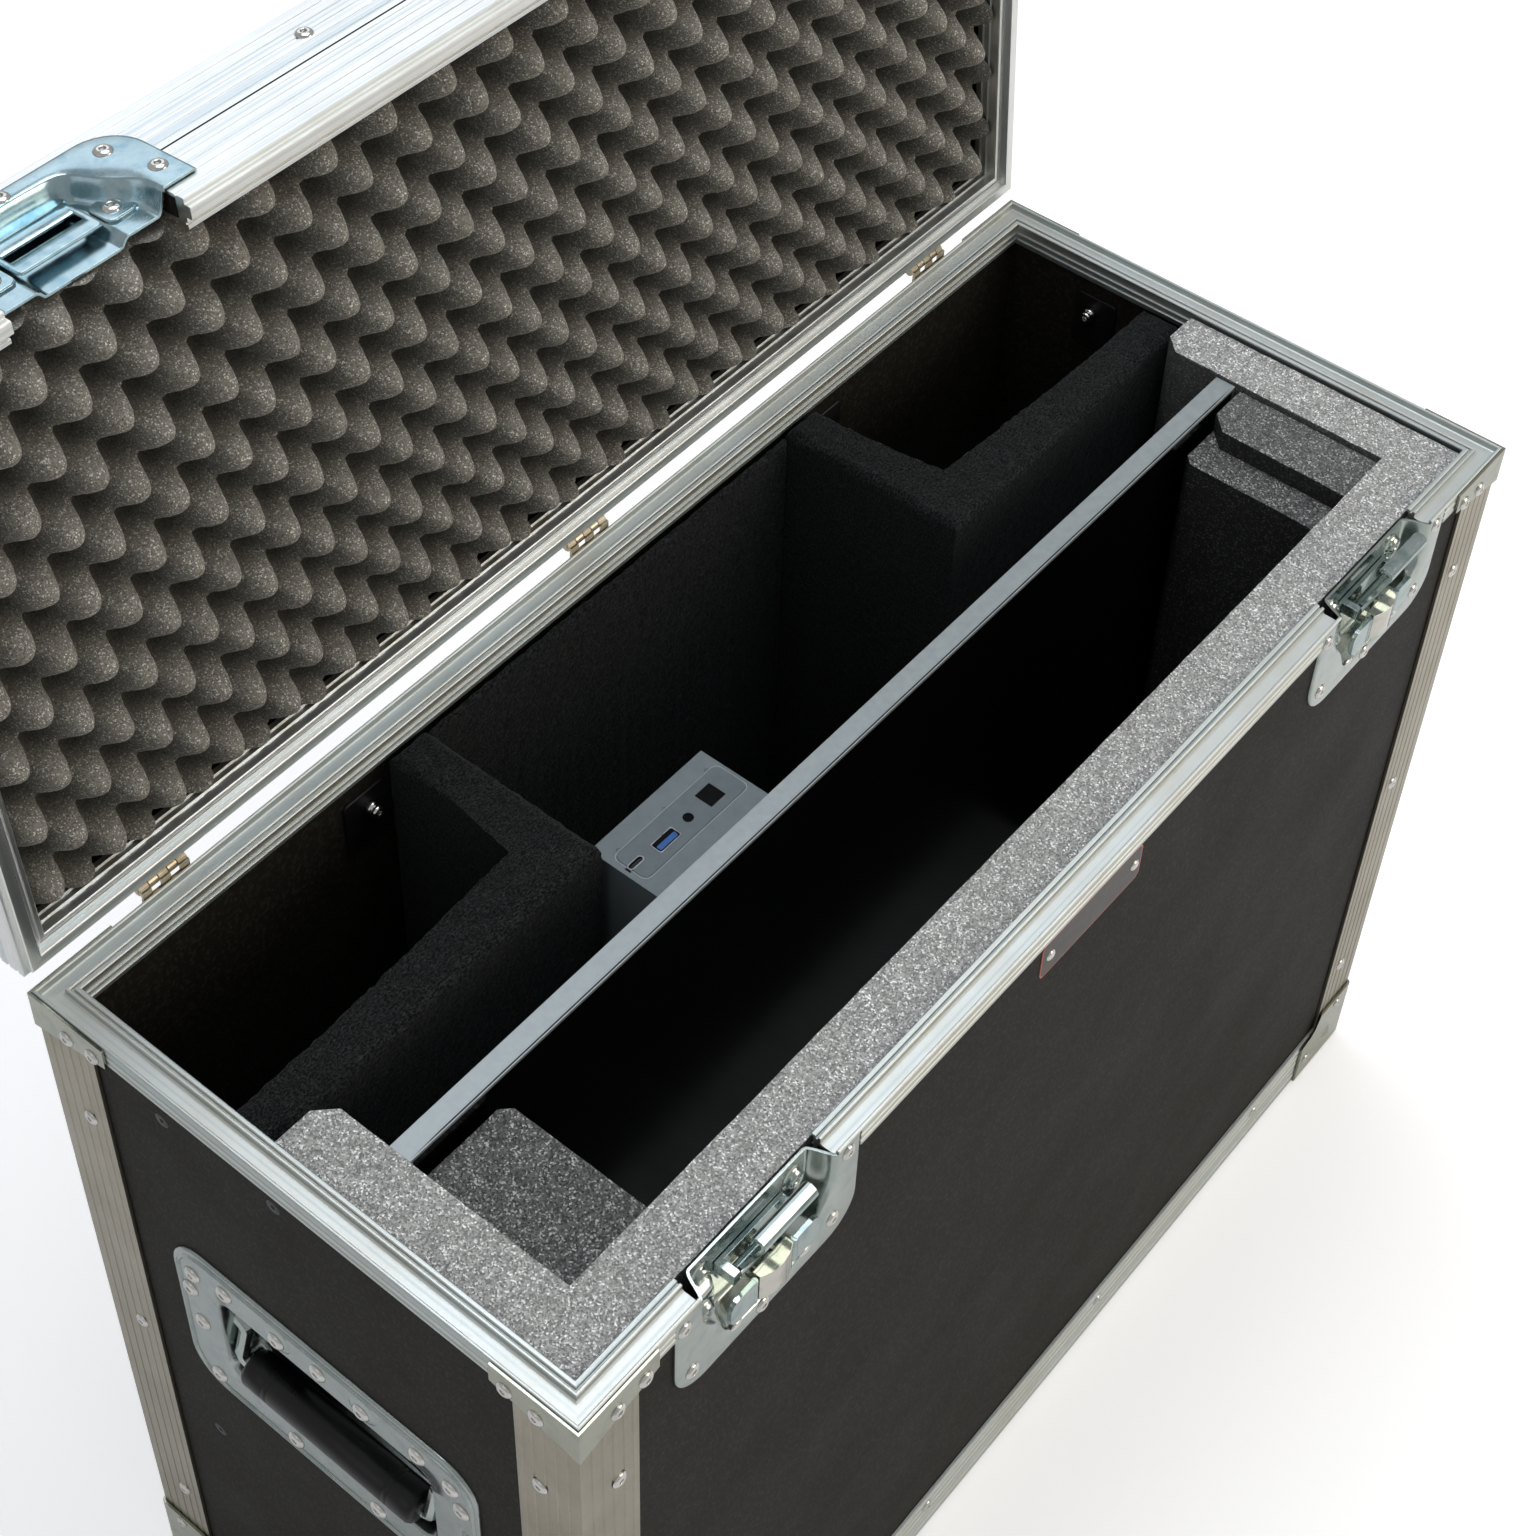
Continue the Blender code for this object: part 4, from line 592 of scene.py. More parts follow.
def stand_on(point, normal):
    # A frame at a point with its z along the normal.
    z_axis = Vector(normal).normalized()
    guide = Vector((1, 0, 0)) if abs(z_axis.z) > 0.99 else Vector((0, 0, 1))
    x_axis = guide.cross(z_axis).normalized()
    y_axis = z_axis.cross(x_axis)
    turned = Matrix((x_axis, y_axis, z_axis)).transposed().to_4x4()
    return Matrix.Translation(Vector(point)) @ turned


print("piece helper ready")

# %% [markdown]
# Rivets, bosses and bolts are round, so each is spun from a profile, as a lathe would turn it.
# One call makes as many as there are places for them, all in one piece.

# %% Turned pieces
boss_sides = 24


def turned_shape(shape, profile, stand, sides):
    # Spins a profile of (radius, height) points about z into a bmesh.
    rings = []
    for radius, height in profile:
        turns = [2 * math.pi * step / sides for step in range(sides)] if radius else [0.0]
        rings.append([shape.verts.new(stand @ Vector((radius * math.cos(turn),
                                                      radius * math.sin(turn), height)))
                      for turn in turns])
    for low, high in zip(rings, rings[1:]):
        for step in range(sides):
            after = (step + 1) % sides
            if len(low) == 1:
                shape.faces.new((low[0], high[step], high[after]))
            elif len(high) == 1:
                shape.faces.new((low[step], low[after], high[0]))
            else:
                shape.faces.new((low[step], low[after], high[after], high[step]))


def in_metres(profile_mm):
    return [(radius * MM, height * MM) for radius, height in profile_mm]


def boss_piece(name, places, profile_mm, finish, stretch=(1, 1, 1)):
    # Turned bosses on the base, each at a point with an outward normal.
    shape = bmesh.new()
    for point, normal in places:
        stand = stand_on(point, normal) @ Matrix.Diagonal((*stretch, 1))
        turned_shape(shape, in_metres(profile_mm), stand, boss_sides)
    return new_piece(name, shape, finish, "base", 50)


print("bosses have", boss_sides, "sides")

# %% [markdown]
# A pop rivet is set by a stem that snaps off inside it. What stays is a low domed flange with a
# round pit at its middle, where the broken stem shows. One profile is spun for all of them.

# %% Rivets
rivet_sides = 18
rivet_profile = [(0, 0.42), (0.9, 0.48), (1.15, 0.30), (1.3, 1.25), (1.6, 1.45), (2.4, 1.42),
                 (3.3, 1.02), (3.9, 0.45), (4.1, 0.10), (4.1, -0.05), (0, -0.05)]
to_front, to_rear, to_left, to_right = (0, -1, 0), (0, 1, 0), (-1, 0, 0), (1, 0, 0)


def rivet_piece(name, places, body="base", size=1.0):
    shape = bmesh.new()
    for point, normal in places:
        stand = stand_on(point, normal) @ Matrix.Scale(size, 4)
        turned_shape(shape, in_metres(rivet_profile), stand, rivet_sides)
    return new_piece(name, shape, rivet_zinc, body, 40)


print("a rivet is", 2 * max(radius for radius, height in rivet_profile), "mm wide")

# %% [markdown]
# Rivets hold each edge section to the panels, at the same spacing on the front and the rear.
# The corners are riveted in pairs, one on the long face and one on the end face. Ball corners
# have smaller rivets, and so have the corners of the lid.

# %% Rivets on the shell
corner_signs = ((-1, -1), (1, -1), (1, 1), (-1, 1))
corner_names = ("front_left", "front_right", "rear_right", "rear_left")
lid_top = rim_top + 64.9 * MM
post_inset_mm, post_drops_mm = 22, (72, 243, 413)
bottom_drop_mm, bottom_xs_mm = 479, (-248, -81.5, 81.5, 248)
lid_rise_mm, lid_xs_mm = 46.7, (-86.7, 86.7)
end_ys_mm = (-55, 55)
# Kind, body, the level that heights are counted from, how far the cap stands out, the rivets'
# size, and their places as (inset from the corner, height).
corner_rivets = (("_brace_rivets", "base", rim_top, 1.5, 1.0, ((20.5, -13.5), (36.5, -11.5))),
                 ("_ball_corner_rivets", "base", 0.0, 1.8, 0.85, ((13.5, 42.0), (42.0, 13.5))),
                 ("_lid_corner_rivets", "lid", lid_top, 1.8, 0.75, ((7.5, -25.0), (25.0, -7.5))))


def corner_pair(signs, inset, out, z):
    sign_x, sign_y = signs
    return [((sign_x * (half_x - inset), sign_y * (half_y + out), z), (0, sign_y, 0)),
            ((sign_x * (half_x + out), sign_y * (half_y - inset), z), (sign_x, 0, 0))]


def edge_places(xs_mm, ys_mm, z):
    places = []
    for x in xs_mm:
        places += [((x * MM, -half_y, z), to_front), ((x * MM, half_y, z), to_rear)]
    for y in ys_mm:
        places += [((-half_x, y * MM, z), to_left), ((half_x, y * MM, z), to_right)]
    return places


post_places = []
for signs in corner_signs:
    for drop in post_drops_mm:
        post_places += corner_pair(signs, post_inset_mm * MM, 0.0, rim_top - drop * MM)
rivet_piece("post_rivets", post_places)
rivet_piece("bottom_edge_rivets", edge_places(bottom_xs_mm, end_ys_mm, rim_top - bottom_drop_mm * MM))
for label, signs in zip(corner_names, corner_signs):
    for kind, body, level, out, size, spots in corner_rivets:
        places = []
        for inset, height in spots:
            places += corner_pair(signs, inset * MM, out * MM, level + height * MM)
        rivet_piece(label + kind, places, body, size)
rivet_piece("lid_edge_rivets", edge_places(lid_xs_mm, end_ys_mm, rim_top + lid_rise_mm * MM), "lid")
print("rivets on the posts", len(post_places))

# %% [markdown]
# Foam blocks and carpeted walls both start as a straight sided block over a flat outline. Left
# like that, their edges would look machined. So each block is sliced into a fine grid first, and
# the points of the grid are moved a little afterwards.

# %% Blocks


def prism(outline, low, high):
    shape = bmesh.new()
    bottom = [shape.verts.new((x, y, low)) for x, y in outline]
    top = [shape.verts.new((x, y, high)) for x, y in outline]
    shape.faces.new(bottom[::-1])
    shape.faces.new(top)
    for index in range(len(outline)):
        after = (index + 1) % len(outline)
        shape.faces.new((bottom[index], bottom[after], top[after], top[index]))
    return shape


def finely_cut(shape, axis, spacing, low, high):
    # Slices the shape into bands, so that it can be roughened.
    normal = [0, 0, 0]
    normal[axis] = 1
    count = int((high - low) / spacing)
    for step in range(1, count):
        point = [0, 0, 0]
        point[axis] = low + (high - low) * step / count
        bmesh.ops.bisect_plane(shape, geom=shape.verts[:] + shape.edges[:] + shape.faces[:],
                               plane_co=point, plane_no=normal)


def gridded(shape, spacing):
    for axis in (0, 1):
        reach = [vert.co[axis] for vert in shape.verts]
        finely_cut(shape, axis, spacing, min(reach), max(reach))


def with_small_faces(shape):
    bmesh.ops.triangulate(shape, faces=[face for face in shape.faces if len(face.verts) > 4])
    return shape


print("block helpers ready")

# %% [markdown]
# The foam blocks are cut from sheet, so their faces are flat and their edges crisp, with a cell
# or two torn away. The surface is roughened by a quarter of a millimetre. Blender's noise starts
# from the clock unless it has a seed, so one is set, and the foam, the lid's waves and the
# carpet come out the same each time.

# %% A foam block
noise.seed_set(1)
end_inner_x = 306 * MM
front_low, front_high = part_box("foam_front")
joint_y = front_high.y
foam_edge = 1.2 * MM
foam_rough = 0.25 * MM
foam_clump = 9 * MM
foam_offset = Vector((5, 10, 15))


def is_joint(edge):
    # Where the front strip and the end blocks meet, no edge shows.
    return all(abs(vert.co.y - joint_y) < 1e-6 and abs(vert.co.x) > end_inner_x - 1e-6
               for vert in edge.verts)


def foam_block(name, outline, low, high, node_names=(), spacing=6 * MM, finish=grey_foam):
    shape = prism(outline, low, high)
    free = [e for e in shape.edges if min(v.co.z for v in e.verts) > low and not is_joint(e)]
    bmesh.ops.bevel(shape, geom=free, offset=foam_edge, segments=2, affect="EDGES", profile=0.6)
    gridded(shape, spacing)
    for vert in shape.verts:
        vert.co += noise.noise_vector(vert.co / foam_clump + foam_offset) * foam_rough
    made = new_piece(name, with_small_faces(shape), finish, "base", 50)
    if node_names:
        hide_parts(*node_names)


print("foam is rough by", foam_rough / MM, "mm")

# %% [markdown]
# The front strip runs the whole length, and an end block with a cut corner meets it on each
# side. A lower step lies on the inner side of each end block, and the right one has a second
# tier. The end blocks leave room for the handle dishes, so each is made in an upper and a lower
# length. Blocks that no one sees have a coarser grid.

# %% Foam blocks
end_chamfer = 9 * MM
step_inner_x = 253.5 * MM
step_outer_x = end_inner_x - 0.4 * MM
step_rear_y = -25.5 * MM
step_chamfer = 5 * MM
step_top = rim_top - 18 * MM
tier_inner_x = 273 * MM
tier_top = rim_top - 6.2 * MM
handle_middle_z = rim_top - 182 * MM
handle_room = 33 * MM
hidden_spacing = 20 * MM
foam_block("front_foam_strip", [(front_low.x, front_low.y), (front_high.x, front_low.y),
                                (front_high.x, joint_y), (end_inner_x, joint_y),
                                (-end_inner_x, joint_y), (front_low.x, joint_y)],
           front_low.z, front_high.z, ["foam_front"])


def stepped_plan(inner_x, chamfer):
    return [(inner_x, joint_y), (step_outer_x, joint_y), (step_outer_x, step_rear_y),
            (inner_x + chamfer, step_rear_y), (inner_x, step_rear_y - chamfer)]


for side, sign in (("left", -1), ("right", 1)):
    low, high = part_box("foam_" + side)
    end_plan = [(end_inner_x, joint_y), (inner_half_x, joint_y), (inner_half_x, high.y),
                (end_inner_x + end_chamfer, high.y), (end_inner_x, high.y - end_chamfer)]
    end_plan, step_plan, tier_plan = ([(sign * x, y) for x, y in plan][::sign] for plan in (
        end_plan, stepped_plan(step_inner_x, step_chamfer), stepped_plan(tier_inner_x, 2 * step_chamfer)))
    foam_block(side + "_foam_end", end_plan, handle_middle_z + handle_room, high.z, ["foam_" + side])
    foam_block(side + "_foam_end_low", end_plan, low.z, handle_middle_z - handle_room,
               spacing=hidden_spacing)
    foam_block(side + "_foam_step", step_plan, low.z, step_top, finish=shaded_step_foam)
    if side == "right":
        foam_block("right_foam_tier", tier_plan, step_top - 0.5 * MM, tier_top, finish=shaded_tier_foam)
low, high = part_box("foam_floor")
foam_block("foam_floor_pad", [(low.x, low.y), (high.x, low.y), (high.x, high.y), (low.x, high.y)],
           low.z, high.z, ["foam_floor"], hidden_spacing)
print("foam blocks", 9)

# %% [markdown]
# Wave foam is made by squeezing a sheet between studded rollers while a blade splits it. The two
# halves spring back with rounded crowns and matching hollows. The crowns here stand 34 mm apart
# along the case and every second row is shifted, 18 mm on. A product of two cosines gives that
# layout, and a power below one makes the crowns fat.

# %% Lid foam
wave_along = 34 * MM
wave_rows = 36 * MM
wave_height = 27 * MM
crown_power, hollow_power = 0.62, 0.85
shut_peak = rim_top + 1.0 * MM
shut_back = rim_top + 50 * MM
wave_step = 1.8 * MM
shape = bmesh.new()
columns = int(2 * inner_half_x / wave_step)
rows = int(2 * inner_half_y / wave_step)
bmesh.ops.create_grid(shape, x_segments=columns, y_segments=rows, size=1)
for vert in shape.verts:
    x = vert.co.x * inner_half_x
    y = vert.co.y * inner_half_y
    wave = math.cos(2 * math.pi * x / wave_along) * math.cos(2 * math.pi * y / wave_rows)
    fat = math.copysign(abs(wave) ** (crown_power if wave > 0 else hollow_power), wave)
    z = shut_peak + wave_height / 2 * (1 - fat)
    jitter = noise.noise_vector(Vector((x, y, z)) / (12 * MM)) * 1.2 * MM
    vert.co = (x + jitter.x * 0.5, y + jitter.y * 0.5, z + abs(jitter.z) * 0.8)
border = [edge for edge in shape.edges if edge.is_boundary]
raised = bmesh.ops.extrude_edge_only(shape, edges=border)["geom"]
for vert in [item for item in raised if isinstance(item, bmesh.types.BMVert)]:
    vert.co.z = shut_back
bmesh.ops.contextual_create(shape, geom=[e for e in raised if isinstance(e, bmesh.types.BMEdge)])
lid_wave = new_piece("lid_wave_foam", shape, wave_foam, "lid", 60)
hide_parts("lid_foam")
print("wave foam grid", columns, "by", rows)

# %% [markdown]
# The dividers are boards wrapped in carpet. The felt rounds their edges off and its fibres stand
# up along the top, so each wall is a rounded block with a fine, uneven nap, coarser below the
# rim where no one looks. A thin sheet of the same felt lines the rear panel between them.

# %% Carpeted walls
nap_mm = 0.9
fibre_mm = 0.7


def carpet_block(name, outline, low, high, node_names=(), round_mm=5.0):
    shape = prism(outline, low, high)
    bmesh.ops.bevel(shape, geom=[e for e in shape.edges if min(v.co.z for v in e.verts) > low],
                    offset=round_mm * MM, segments=4, affect="EDGES", profile=0.5)
    spacing = 3 * MM
    gridded(shape, spacing)
    finely_cut(shape, 2, spacing * 2, high - 90 * MM, high)
    for vert in shape.verts:
        nap = noise.fractal(vert.co / (5 * MM), 0.6, 2.0, 3)
        vert.co += noise.noise_vector(vert.co / (3 * MM)) * fibre_mm * MM
        if vert.co.z > high - 12 * MM:
            vert.co.z += nap * nap_mm * MM
    made = new_piece(name, with_small_faces(shape), carpet, "base", 70)
    if node_names:
        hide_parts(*node_names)


wall_front_y = 29 * MM
wall_thick = 24 * MM
divider_x = 132 * MM
wall_outer_x = inner_half_x - 0.5 * MM
wall_rear_y = inner_half_y - 0.5 * MM
for side, sign in (("left", -1), ("right", 1)):
    low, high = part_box(side + "_box_wall")
    plan = [(divider_x, wall_front_y), (wall_outer_x, wall_front_y),
            (wall_outer_x, wall_front_y + wall_thick),
            (divider_x + wall_thick, wall_front_y + wall_thick),
            (divider_x + wall_thick, wall_rear_y), (divider_x, wall_rear_y)]
    carpet_block(side + "_carpet_wall", [(sign * x, y) for x, y in plan][::sign], low.z,
                 high.z - 1 * MM, [side + "_box_wall"])
liner_half_x = divider_x - 1 * MM
liner_rear_y = inner_half_y + 0.2 * MM
liner_front_y = inner_half_y - 3.4 * MM
carpet_block("rear_carpet_liner", [(-liner_half_x, liner_rear_y), (-liner_half_x, liner_front_y),
                                   (liner_half_x, liner_front_y), (liner_half_x, liner_rear_y)],
             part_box("bottom_panel")[1].z + 1 * MM, rim_top - 16 * MM, round_mm=1.2)
print("carpet pieces", 3)

# %% [markdown]
# Latch dishes, keepers and handle dishes are deep drawn from one sheet. Drawing leaves no sharp
# corner: the flange rolls into the wall and the wall into the floor in one S. Boxes with bevels
# would look cast, so each sheet is lofted through rings of points, from its edge to its floor.
# First come the flat lines that the rings are made from.

# %% Outlines


def eased(share):
    # Climbs from 0 to 1 with a soft start and end.
    share = min(max(share, 0.0), 1.0)
    return share * share * (3 - 2 * share)


def part_way(first, second, share):
    return (first[0] + (second[0] - first[0]) * share, first[1] + (second[1] - first[1]) * share)


def part_way_line(first, second, share):
    return [part_way(a, b, share) for a, b in zip(first, second)]


def arc_points(center_x, center_y, radius, start, end, steps):
    turns = [math.radians(start + (end - start) * step / steps) for step in range(steps + 1)]
    return [(center_x + radius * math.cos(t), center_y + radius * math.sin(t)) for t in turns]


def even_points(line, count, closed=False):
    # The same line with a given number of evenly spaced points.
    if closed:
        line = line + line[:1]
    ways = [0.0]
    for first, second in zip(line, line[1:]):
        ways.append(ways[-1] + math.dist(first, second))
    spread = []
    index = 0
    for step in range(count):
        goal = ways[-1] * step / (count if closed else count - 1)
        while index < len(line) - 2 and ways[index + 1] < goal:
            index += 1
        share = (goal - ways[index]) / max(ways[index + 1] - ways[index], 1e-9)
        spread.append(part_way(line[index], line[index + 1], share))
    return spread


print("half way eased is", eased(0.5))

# %% [markdown]
# Most edges of the fittings are rectangles with round corners. A ring that is drawn in by the
# same amount on every side gives the next step of a wall or a bevel.

# %% Rounded rectangles


def corner_arcs(half_x, half_y, radius, steps, middle_y=0.0):
    # The four corners of a rounded rectangle, counterclockwise from the upper right.
    return [arc_points(sign_x * (half_x - radius), middle_y + sign_y * (half_y - radius), radius,
                       start, start + 90, steps)
            for sign_x, sign_y, start in ((1, 1, 0), (-1, 1, 90), (-1, -1, 180), (1, -1, 270))]


def round_loop(half_x, half_y, radius, count):
    return even_points(sum(corner_arcs(half_x, half_y, radius, 8), []), count, closed=True)


def sided_loop(half_x, half_y, radius, middle_y, per_side=10):
    # A rounded rectangle with as many points on each side, so that two of them match up.
    corners = corner_arcs(half_x, half_y, radius, 5, middle_y)
    loop = []
    for corner, after in zip(corners, corners[1:] + corners[:1]):
        loop += corner
        loop += [part_way(corner[-1], after[0], step / per_side) for step in range(1, per_side)]
    return loop


def drawn_in(line, amount, half_x, half_y):
    # The line, made smaller by the same amount on every side.
    return [(x * (half_x - amount) / half_x, y * (half_y - amount) / half_y) for x, y in line]


def at_height(line, height):
    return [(x, y, height) for x, y in line]


print("a loop of 64 has", len(round_loop(1, 1, 0.2, 64)), "points")

# %% [markdown]
# A loft joins ring after ring with faces. A sheet that is lofted has no thickness yet, so it
# gets a back and edges. A flat plate with a broken edge is the simplest loft.

# %% Lofts


def loft(rings, closed, floor=False):
    # Each ring is a list of (x, y, z), all of one length. A floor fills the last one.
    shape = bmesh.new()
    rows = [[shape.verts.new(point) for point in ring] for ring in rings]
    count = len(rows[0])
    for low, high in zip(rows, rows[1:]):
        for index in range(count if closed else count - 1):
            after = (index + 1) % count
            shape.faces.new((low[index], low[after], high[after], high[index]))
    if floor:
        shape.faces.new(rows[-1])
    return shape, rows


def thickened(shape, thickness):
    # Gives an open sheet a back and edges, away from its face (+z).
    bmesh.ops.recalc_face_normals(shape, faces=shape.faces)
    if sum(face.normal.z * face.calc_area() for face in shape.faces) < 0:
        bmesh.ops.reverse_faces(shape, faces=shape.faces)
    shape.normal_update()
    ways = {vert: vert.normal.copy() for vert in shape.verts}
    border = [edge for edge in shape.edges if edge.is_boundary]
    back = {vert: shape.verts.new(vert.co - way * thickness) for vert, way in ways.items()}
    for face in list(shape.faces):
        shape.faces.new([back[vert] for vert in reversed(face.verts)])
    for edge in border:
        first, second = edge.verts
        shape.faces.new((first, second, back[second], back[first]))


def bevelled_plate(name, stand, half_mm, radius_mm, span_mm, finish,
                   body="base", edge_mm=0.2):
    # A flat plate with round corners and a broken edge, raised from the first height of its
    # span to the second.
    half = (half_mm[0] * MM, half_mm[1] * MM)
    low_mm, high_mm = span_mm
    loop = round_loop(*half, radius_mm * MM, 64)
    shape, rows = loft([at_height(loop, low_mm * MM), at_height(loop, (high_mm - edge_mm) * MM),
                        at_height(drawn_in(loop, edge_mm * MM, *half), high_mm * MM)],
                       closed=True, floor=True)
    shape.faces.new(rows[0][::-1])
    return new_piece(name, shape, finish, body, 30, stand)


print("loft helpers ready")

# %% [markdown]
# Latch dishes and keepers are recesses that are open at one end, where hook and strike meet.
# The recess has upright sides and shoulders that close in, and its depth eases in along the
# wall. The sheet's outer edge is rolled back, so that it doesn't cut a hand.

# %% Edge and lip of an open recess
roll_steps = ((0.0, -1.75), (0.1, -0.7), (0.45, -0.15), (1.3, 0.0))
recess_shares = ((1.0, 0.0), (1.0, 0.34), (0.96, 0.46), (0.85, 0.58), (0.74, 0.70), (0.67, 0.84),
                 (0.60, 0.94), (0.46, 1.0))


def rounded_line(line, times):
    # Cuts every corner of an open line, again and again.
    for _ in range(times):
        cut = [line[0]]
        for first, second in zip(line, line[1:]):
            cut += [part_way(first, second, 0.25), part_way(first, second, 0.75)]
        line = cut + [line[-1]]
    return line


def open_flange(half, drop, radius):
    # A plate's edge from its top left, round the bottom, to its top right.
    return ([(-half, 0)] + arc_points(-half + radius, -drop + radius, radius, 180, 270, 10)
            + arc_points(half - radius, -drop + radius, radius, 270, 360, 10) + [(half, 0)])


def open_pan(half, drop, start):
    # The recess's lip. Its drop is counted from above the top by the amount given as start.
    right = [(half * wide, min(0.0, start - drop * down)) for wide, down in recess_shares]
    right = [point for index, point in enumerate(right) if index == 0 or point[1] < 0]
    return rounded_line([(-x, y) for x, y in right] + right[::-1], 3)


def rolled_rings(edge, half):
    return [at_height(drawn_in(edge, inset * MM, *half), height * MM) for inset, height in roll_steps]


print("the edge is rolled back by", -roll_steps[0][1], "mm")

# %% [markdown]
# Rings run from the edge over the flange and down the wall. The floor is filled from the left
# side of the last ring to its right side, so that its depth can change from point to point.

# %% Open recess
sheet_mm = 1.3
wall_steps = 10
floor_columns = 40
recess_points = 73


def pressed_recess(flange, pan, wall_mm, depth_at):
    # flange is (half width, drop, radius) and pan is (half width, drop, start).
    edge = even_points(open_flange(*flange), recess_points)
    lip = even_points(open_pan(*pan), recess_points)
    rings = rolled_rings(edge, flange[:2])
    rolled = drawn_in(edge, roll_steps[-1][0] * MM, *flange[:2])
    rings.append(at_height(part_way_line(rolled, lip, 0.5), 0.0))
    for step in range(wall_steps + 1):
        share = step / wall_steps
        line = drawn_in(lip, share * wall_mm * MM, *pan[:2])
        rings.append([(x, y, -depth_at(x, y) * eased(share)) for x, y in line])
    shape, rows = loft(rings, closed=False)
    inner = rows[-1]
    middle = recess_points // 2
    before = None
    for index in range(middle):
        left, right = inner[index], inner[recess_points - 1 - index]
        line = [left]
        for step in range(1, floor_columns):
            x, y, _ = left.co.lerp(right.co, step / floor_columns)
            line.append(shape.verts.new((x, y, -depth_at(x, y))))
        line.append(right)
        if before:
            for corners in zip(before, before[1:], line[1:], line):
                shape.faces.new(corners)
        before = line
    for first, second in zip(before, before[1:]):
        shape.faces.new((first, second, inner[middle]))
    thickened(shape, sheet_mm * MM)
    return shape


def front_frame(x, y, z):
    # x to the viewer's right, y up and z out of the front.
    return Matrix(((1, 0, 0, x), (0, 0, -1, y), (0, 1, 0, z), (0, 0, 0, 1)))


def front_places(stand, spots_mm, out=0.0):
    return [(stand @ Vector((u * MM, v * MM, out)), to_front) for u, v in spots_mm]


print("pressed sheet", sheet_mm, "mm thick")

# %% [markdown]
# A latch dish is deep in the middle, where the hook works, and has a shallower pocket at the
# left. Its open top shows the sheet's edge as a bright S. Five rivets hold the flange.

# %% Latch dishes
latch_flange = (57.5 * MM, 60.0 * MM, 18 * MM)
latch_pan = (42.4 * MM, 51.4 * MM, 0.0)
latch_wall_mm = 7.0
latch_deep = 12.0 * MM
pocket_deep = 5.5 * MM
pocket_edge = -23.5 * MM
pocket_top = -9 * MM
pocket_slope = 5 * MM
latch_face_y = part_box("left_latch_dish")[0].y
latch_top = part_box("left_latch_dish")[1].z
latch_rivets = ((-52.5, -8.5), (49.5, -6.0), (-47.5, -47.0), (41.5, -46.0), (-3.5, -54.5))
ring_boss = ((0, 2.2), (1.2, 2.3), (1.6, 2.0), (2.3, 2.0), (2.7, 2.6), (3.6, 2.9), (4.4, 2.4),
             (5.0, 1.2), (5.6, 0.3), (6.6, 0.0), (6.6, -0.6), (0, -0.6))
dimple = ((0, 0.75), (0.8, 0.7), (1.5, 0.45), (2.0, 0.1), (2.2, -0.3), (0, -0.3))


def latch_depth(x, y):
    # The pocket lies at the left, below the open top.
    in_pocket = eased((pocket_edge - x) / pocket_slope) * eased((pocket_top - y) / pocket_slope)
    return latch_deep - (latch_deep - pocket_deep) * in_pocket


latch_centres = {}
for side in ("left", "right"):
    low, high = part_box(side + "_latch_dish")
    latch_centres[side] = (low.x + high.x) / 2
    stand = front_frame(latch_centres[side], latch_face_y, latch_top)
    dish = new_piece(side + "_latch_pressing",
                     pressed_recess(latch_flange, latch_pan, latch_wall_mm, latch_depth),
                     base_zinc, "base", 50, stand)
    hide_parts(side + "_latch_dish")
    rivet_piece(side + "_latch_rivets", front_places(stand, latch_rivets))
    boss_piece(side + "_latch_pocket_boss", front_places(stand, [(-34.5, -24)], -pocket_deep),
               ring_boss, base_zinc)
    boss_piece(side + "_latch_floor_bosses",
               front_places(stand, [(-29.5, -11), (28.5, -11)], -latch_deep), ring_boss, base_zinc)
    boss_piece(side + "_latch_dimples", front_places(stand, [(-20, -49), (24, -49)]), dimple,
               rivet_zinc, (1.7, 1.0, 1.0))
print("latch dishes at", [round(x / MM, 1) for x in latch_centres.values()])

# %% [markdown]
# In each keeper a strike plate with a slot stands off the floor and bends back to it at its
# upper end. The hook's curl goes through the slot and pulls the lid down. The plate's rings run
# from the slot to the rim, with the same number of points on each side, so that no face crosses
# the slot.

# %% Strike plate
well_deep = 13.9 * MM
strike_out = 5.5 * MM
strike_mm = 1.3
strike_middle = 24.5 * MM
strike_bend = 33 * MM
slot_middle = 22.55 * MM


def strike_plate():
    rim = sided_loop(20 * MM, 13.5 * MM, 2 * MM, strike_middle)
    face = sided_loop(19.5 * MM, 13 * MM, 1.6 * MM, strike_middle)
    slot = sided_loop(17.4 * MM, 2.95 * MM, 0.5 * MM, slot_middle)
    lip = sided_loop(17.9 * MM, 3.45 * MM, 0.9 * MM, slot_middle)
    lines = [(slot, -strike_mm), (slot, -0.4), (lip, 0.0)]
    lines += [(part_way_line(lip, face, share), 0.0) for share in (0.55, 0.7, 0.85)]
    lines += [(face, 0.0), (rim, -0.5), (rim, -strike_mm)]
    rings = []
    for line, height in lines:
        level = -well_deep + strike_out + height * MM
        rings.append([(x, y, level - eased((y - strike_bend) / (5 * MM)) * (strike_out - 1.4 * MM))
                      for x, y in line])
    shape, rows = loft(rings, closed=True)
    for index in range(len(rim)):
        after = (index + 1) % len(rim)
        shape.faces.new((rows[-1][index], rows[-1][after], rows[0][after], rows[0][index]))
    return shape


print("the strike plate stands", strike_out / MM, "mm off the floor")

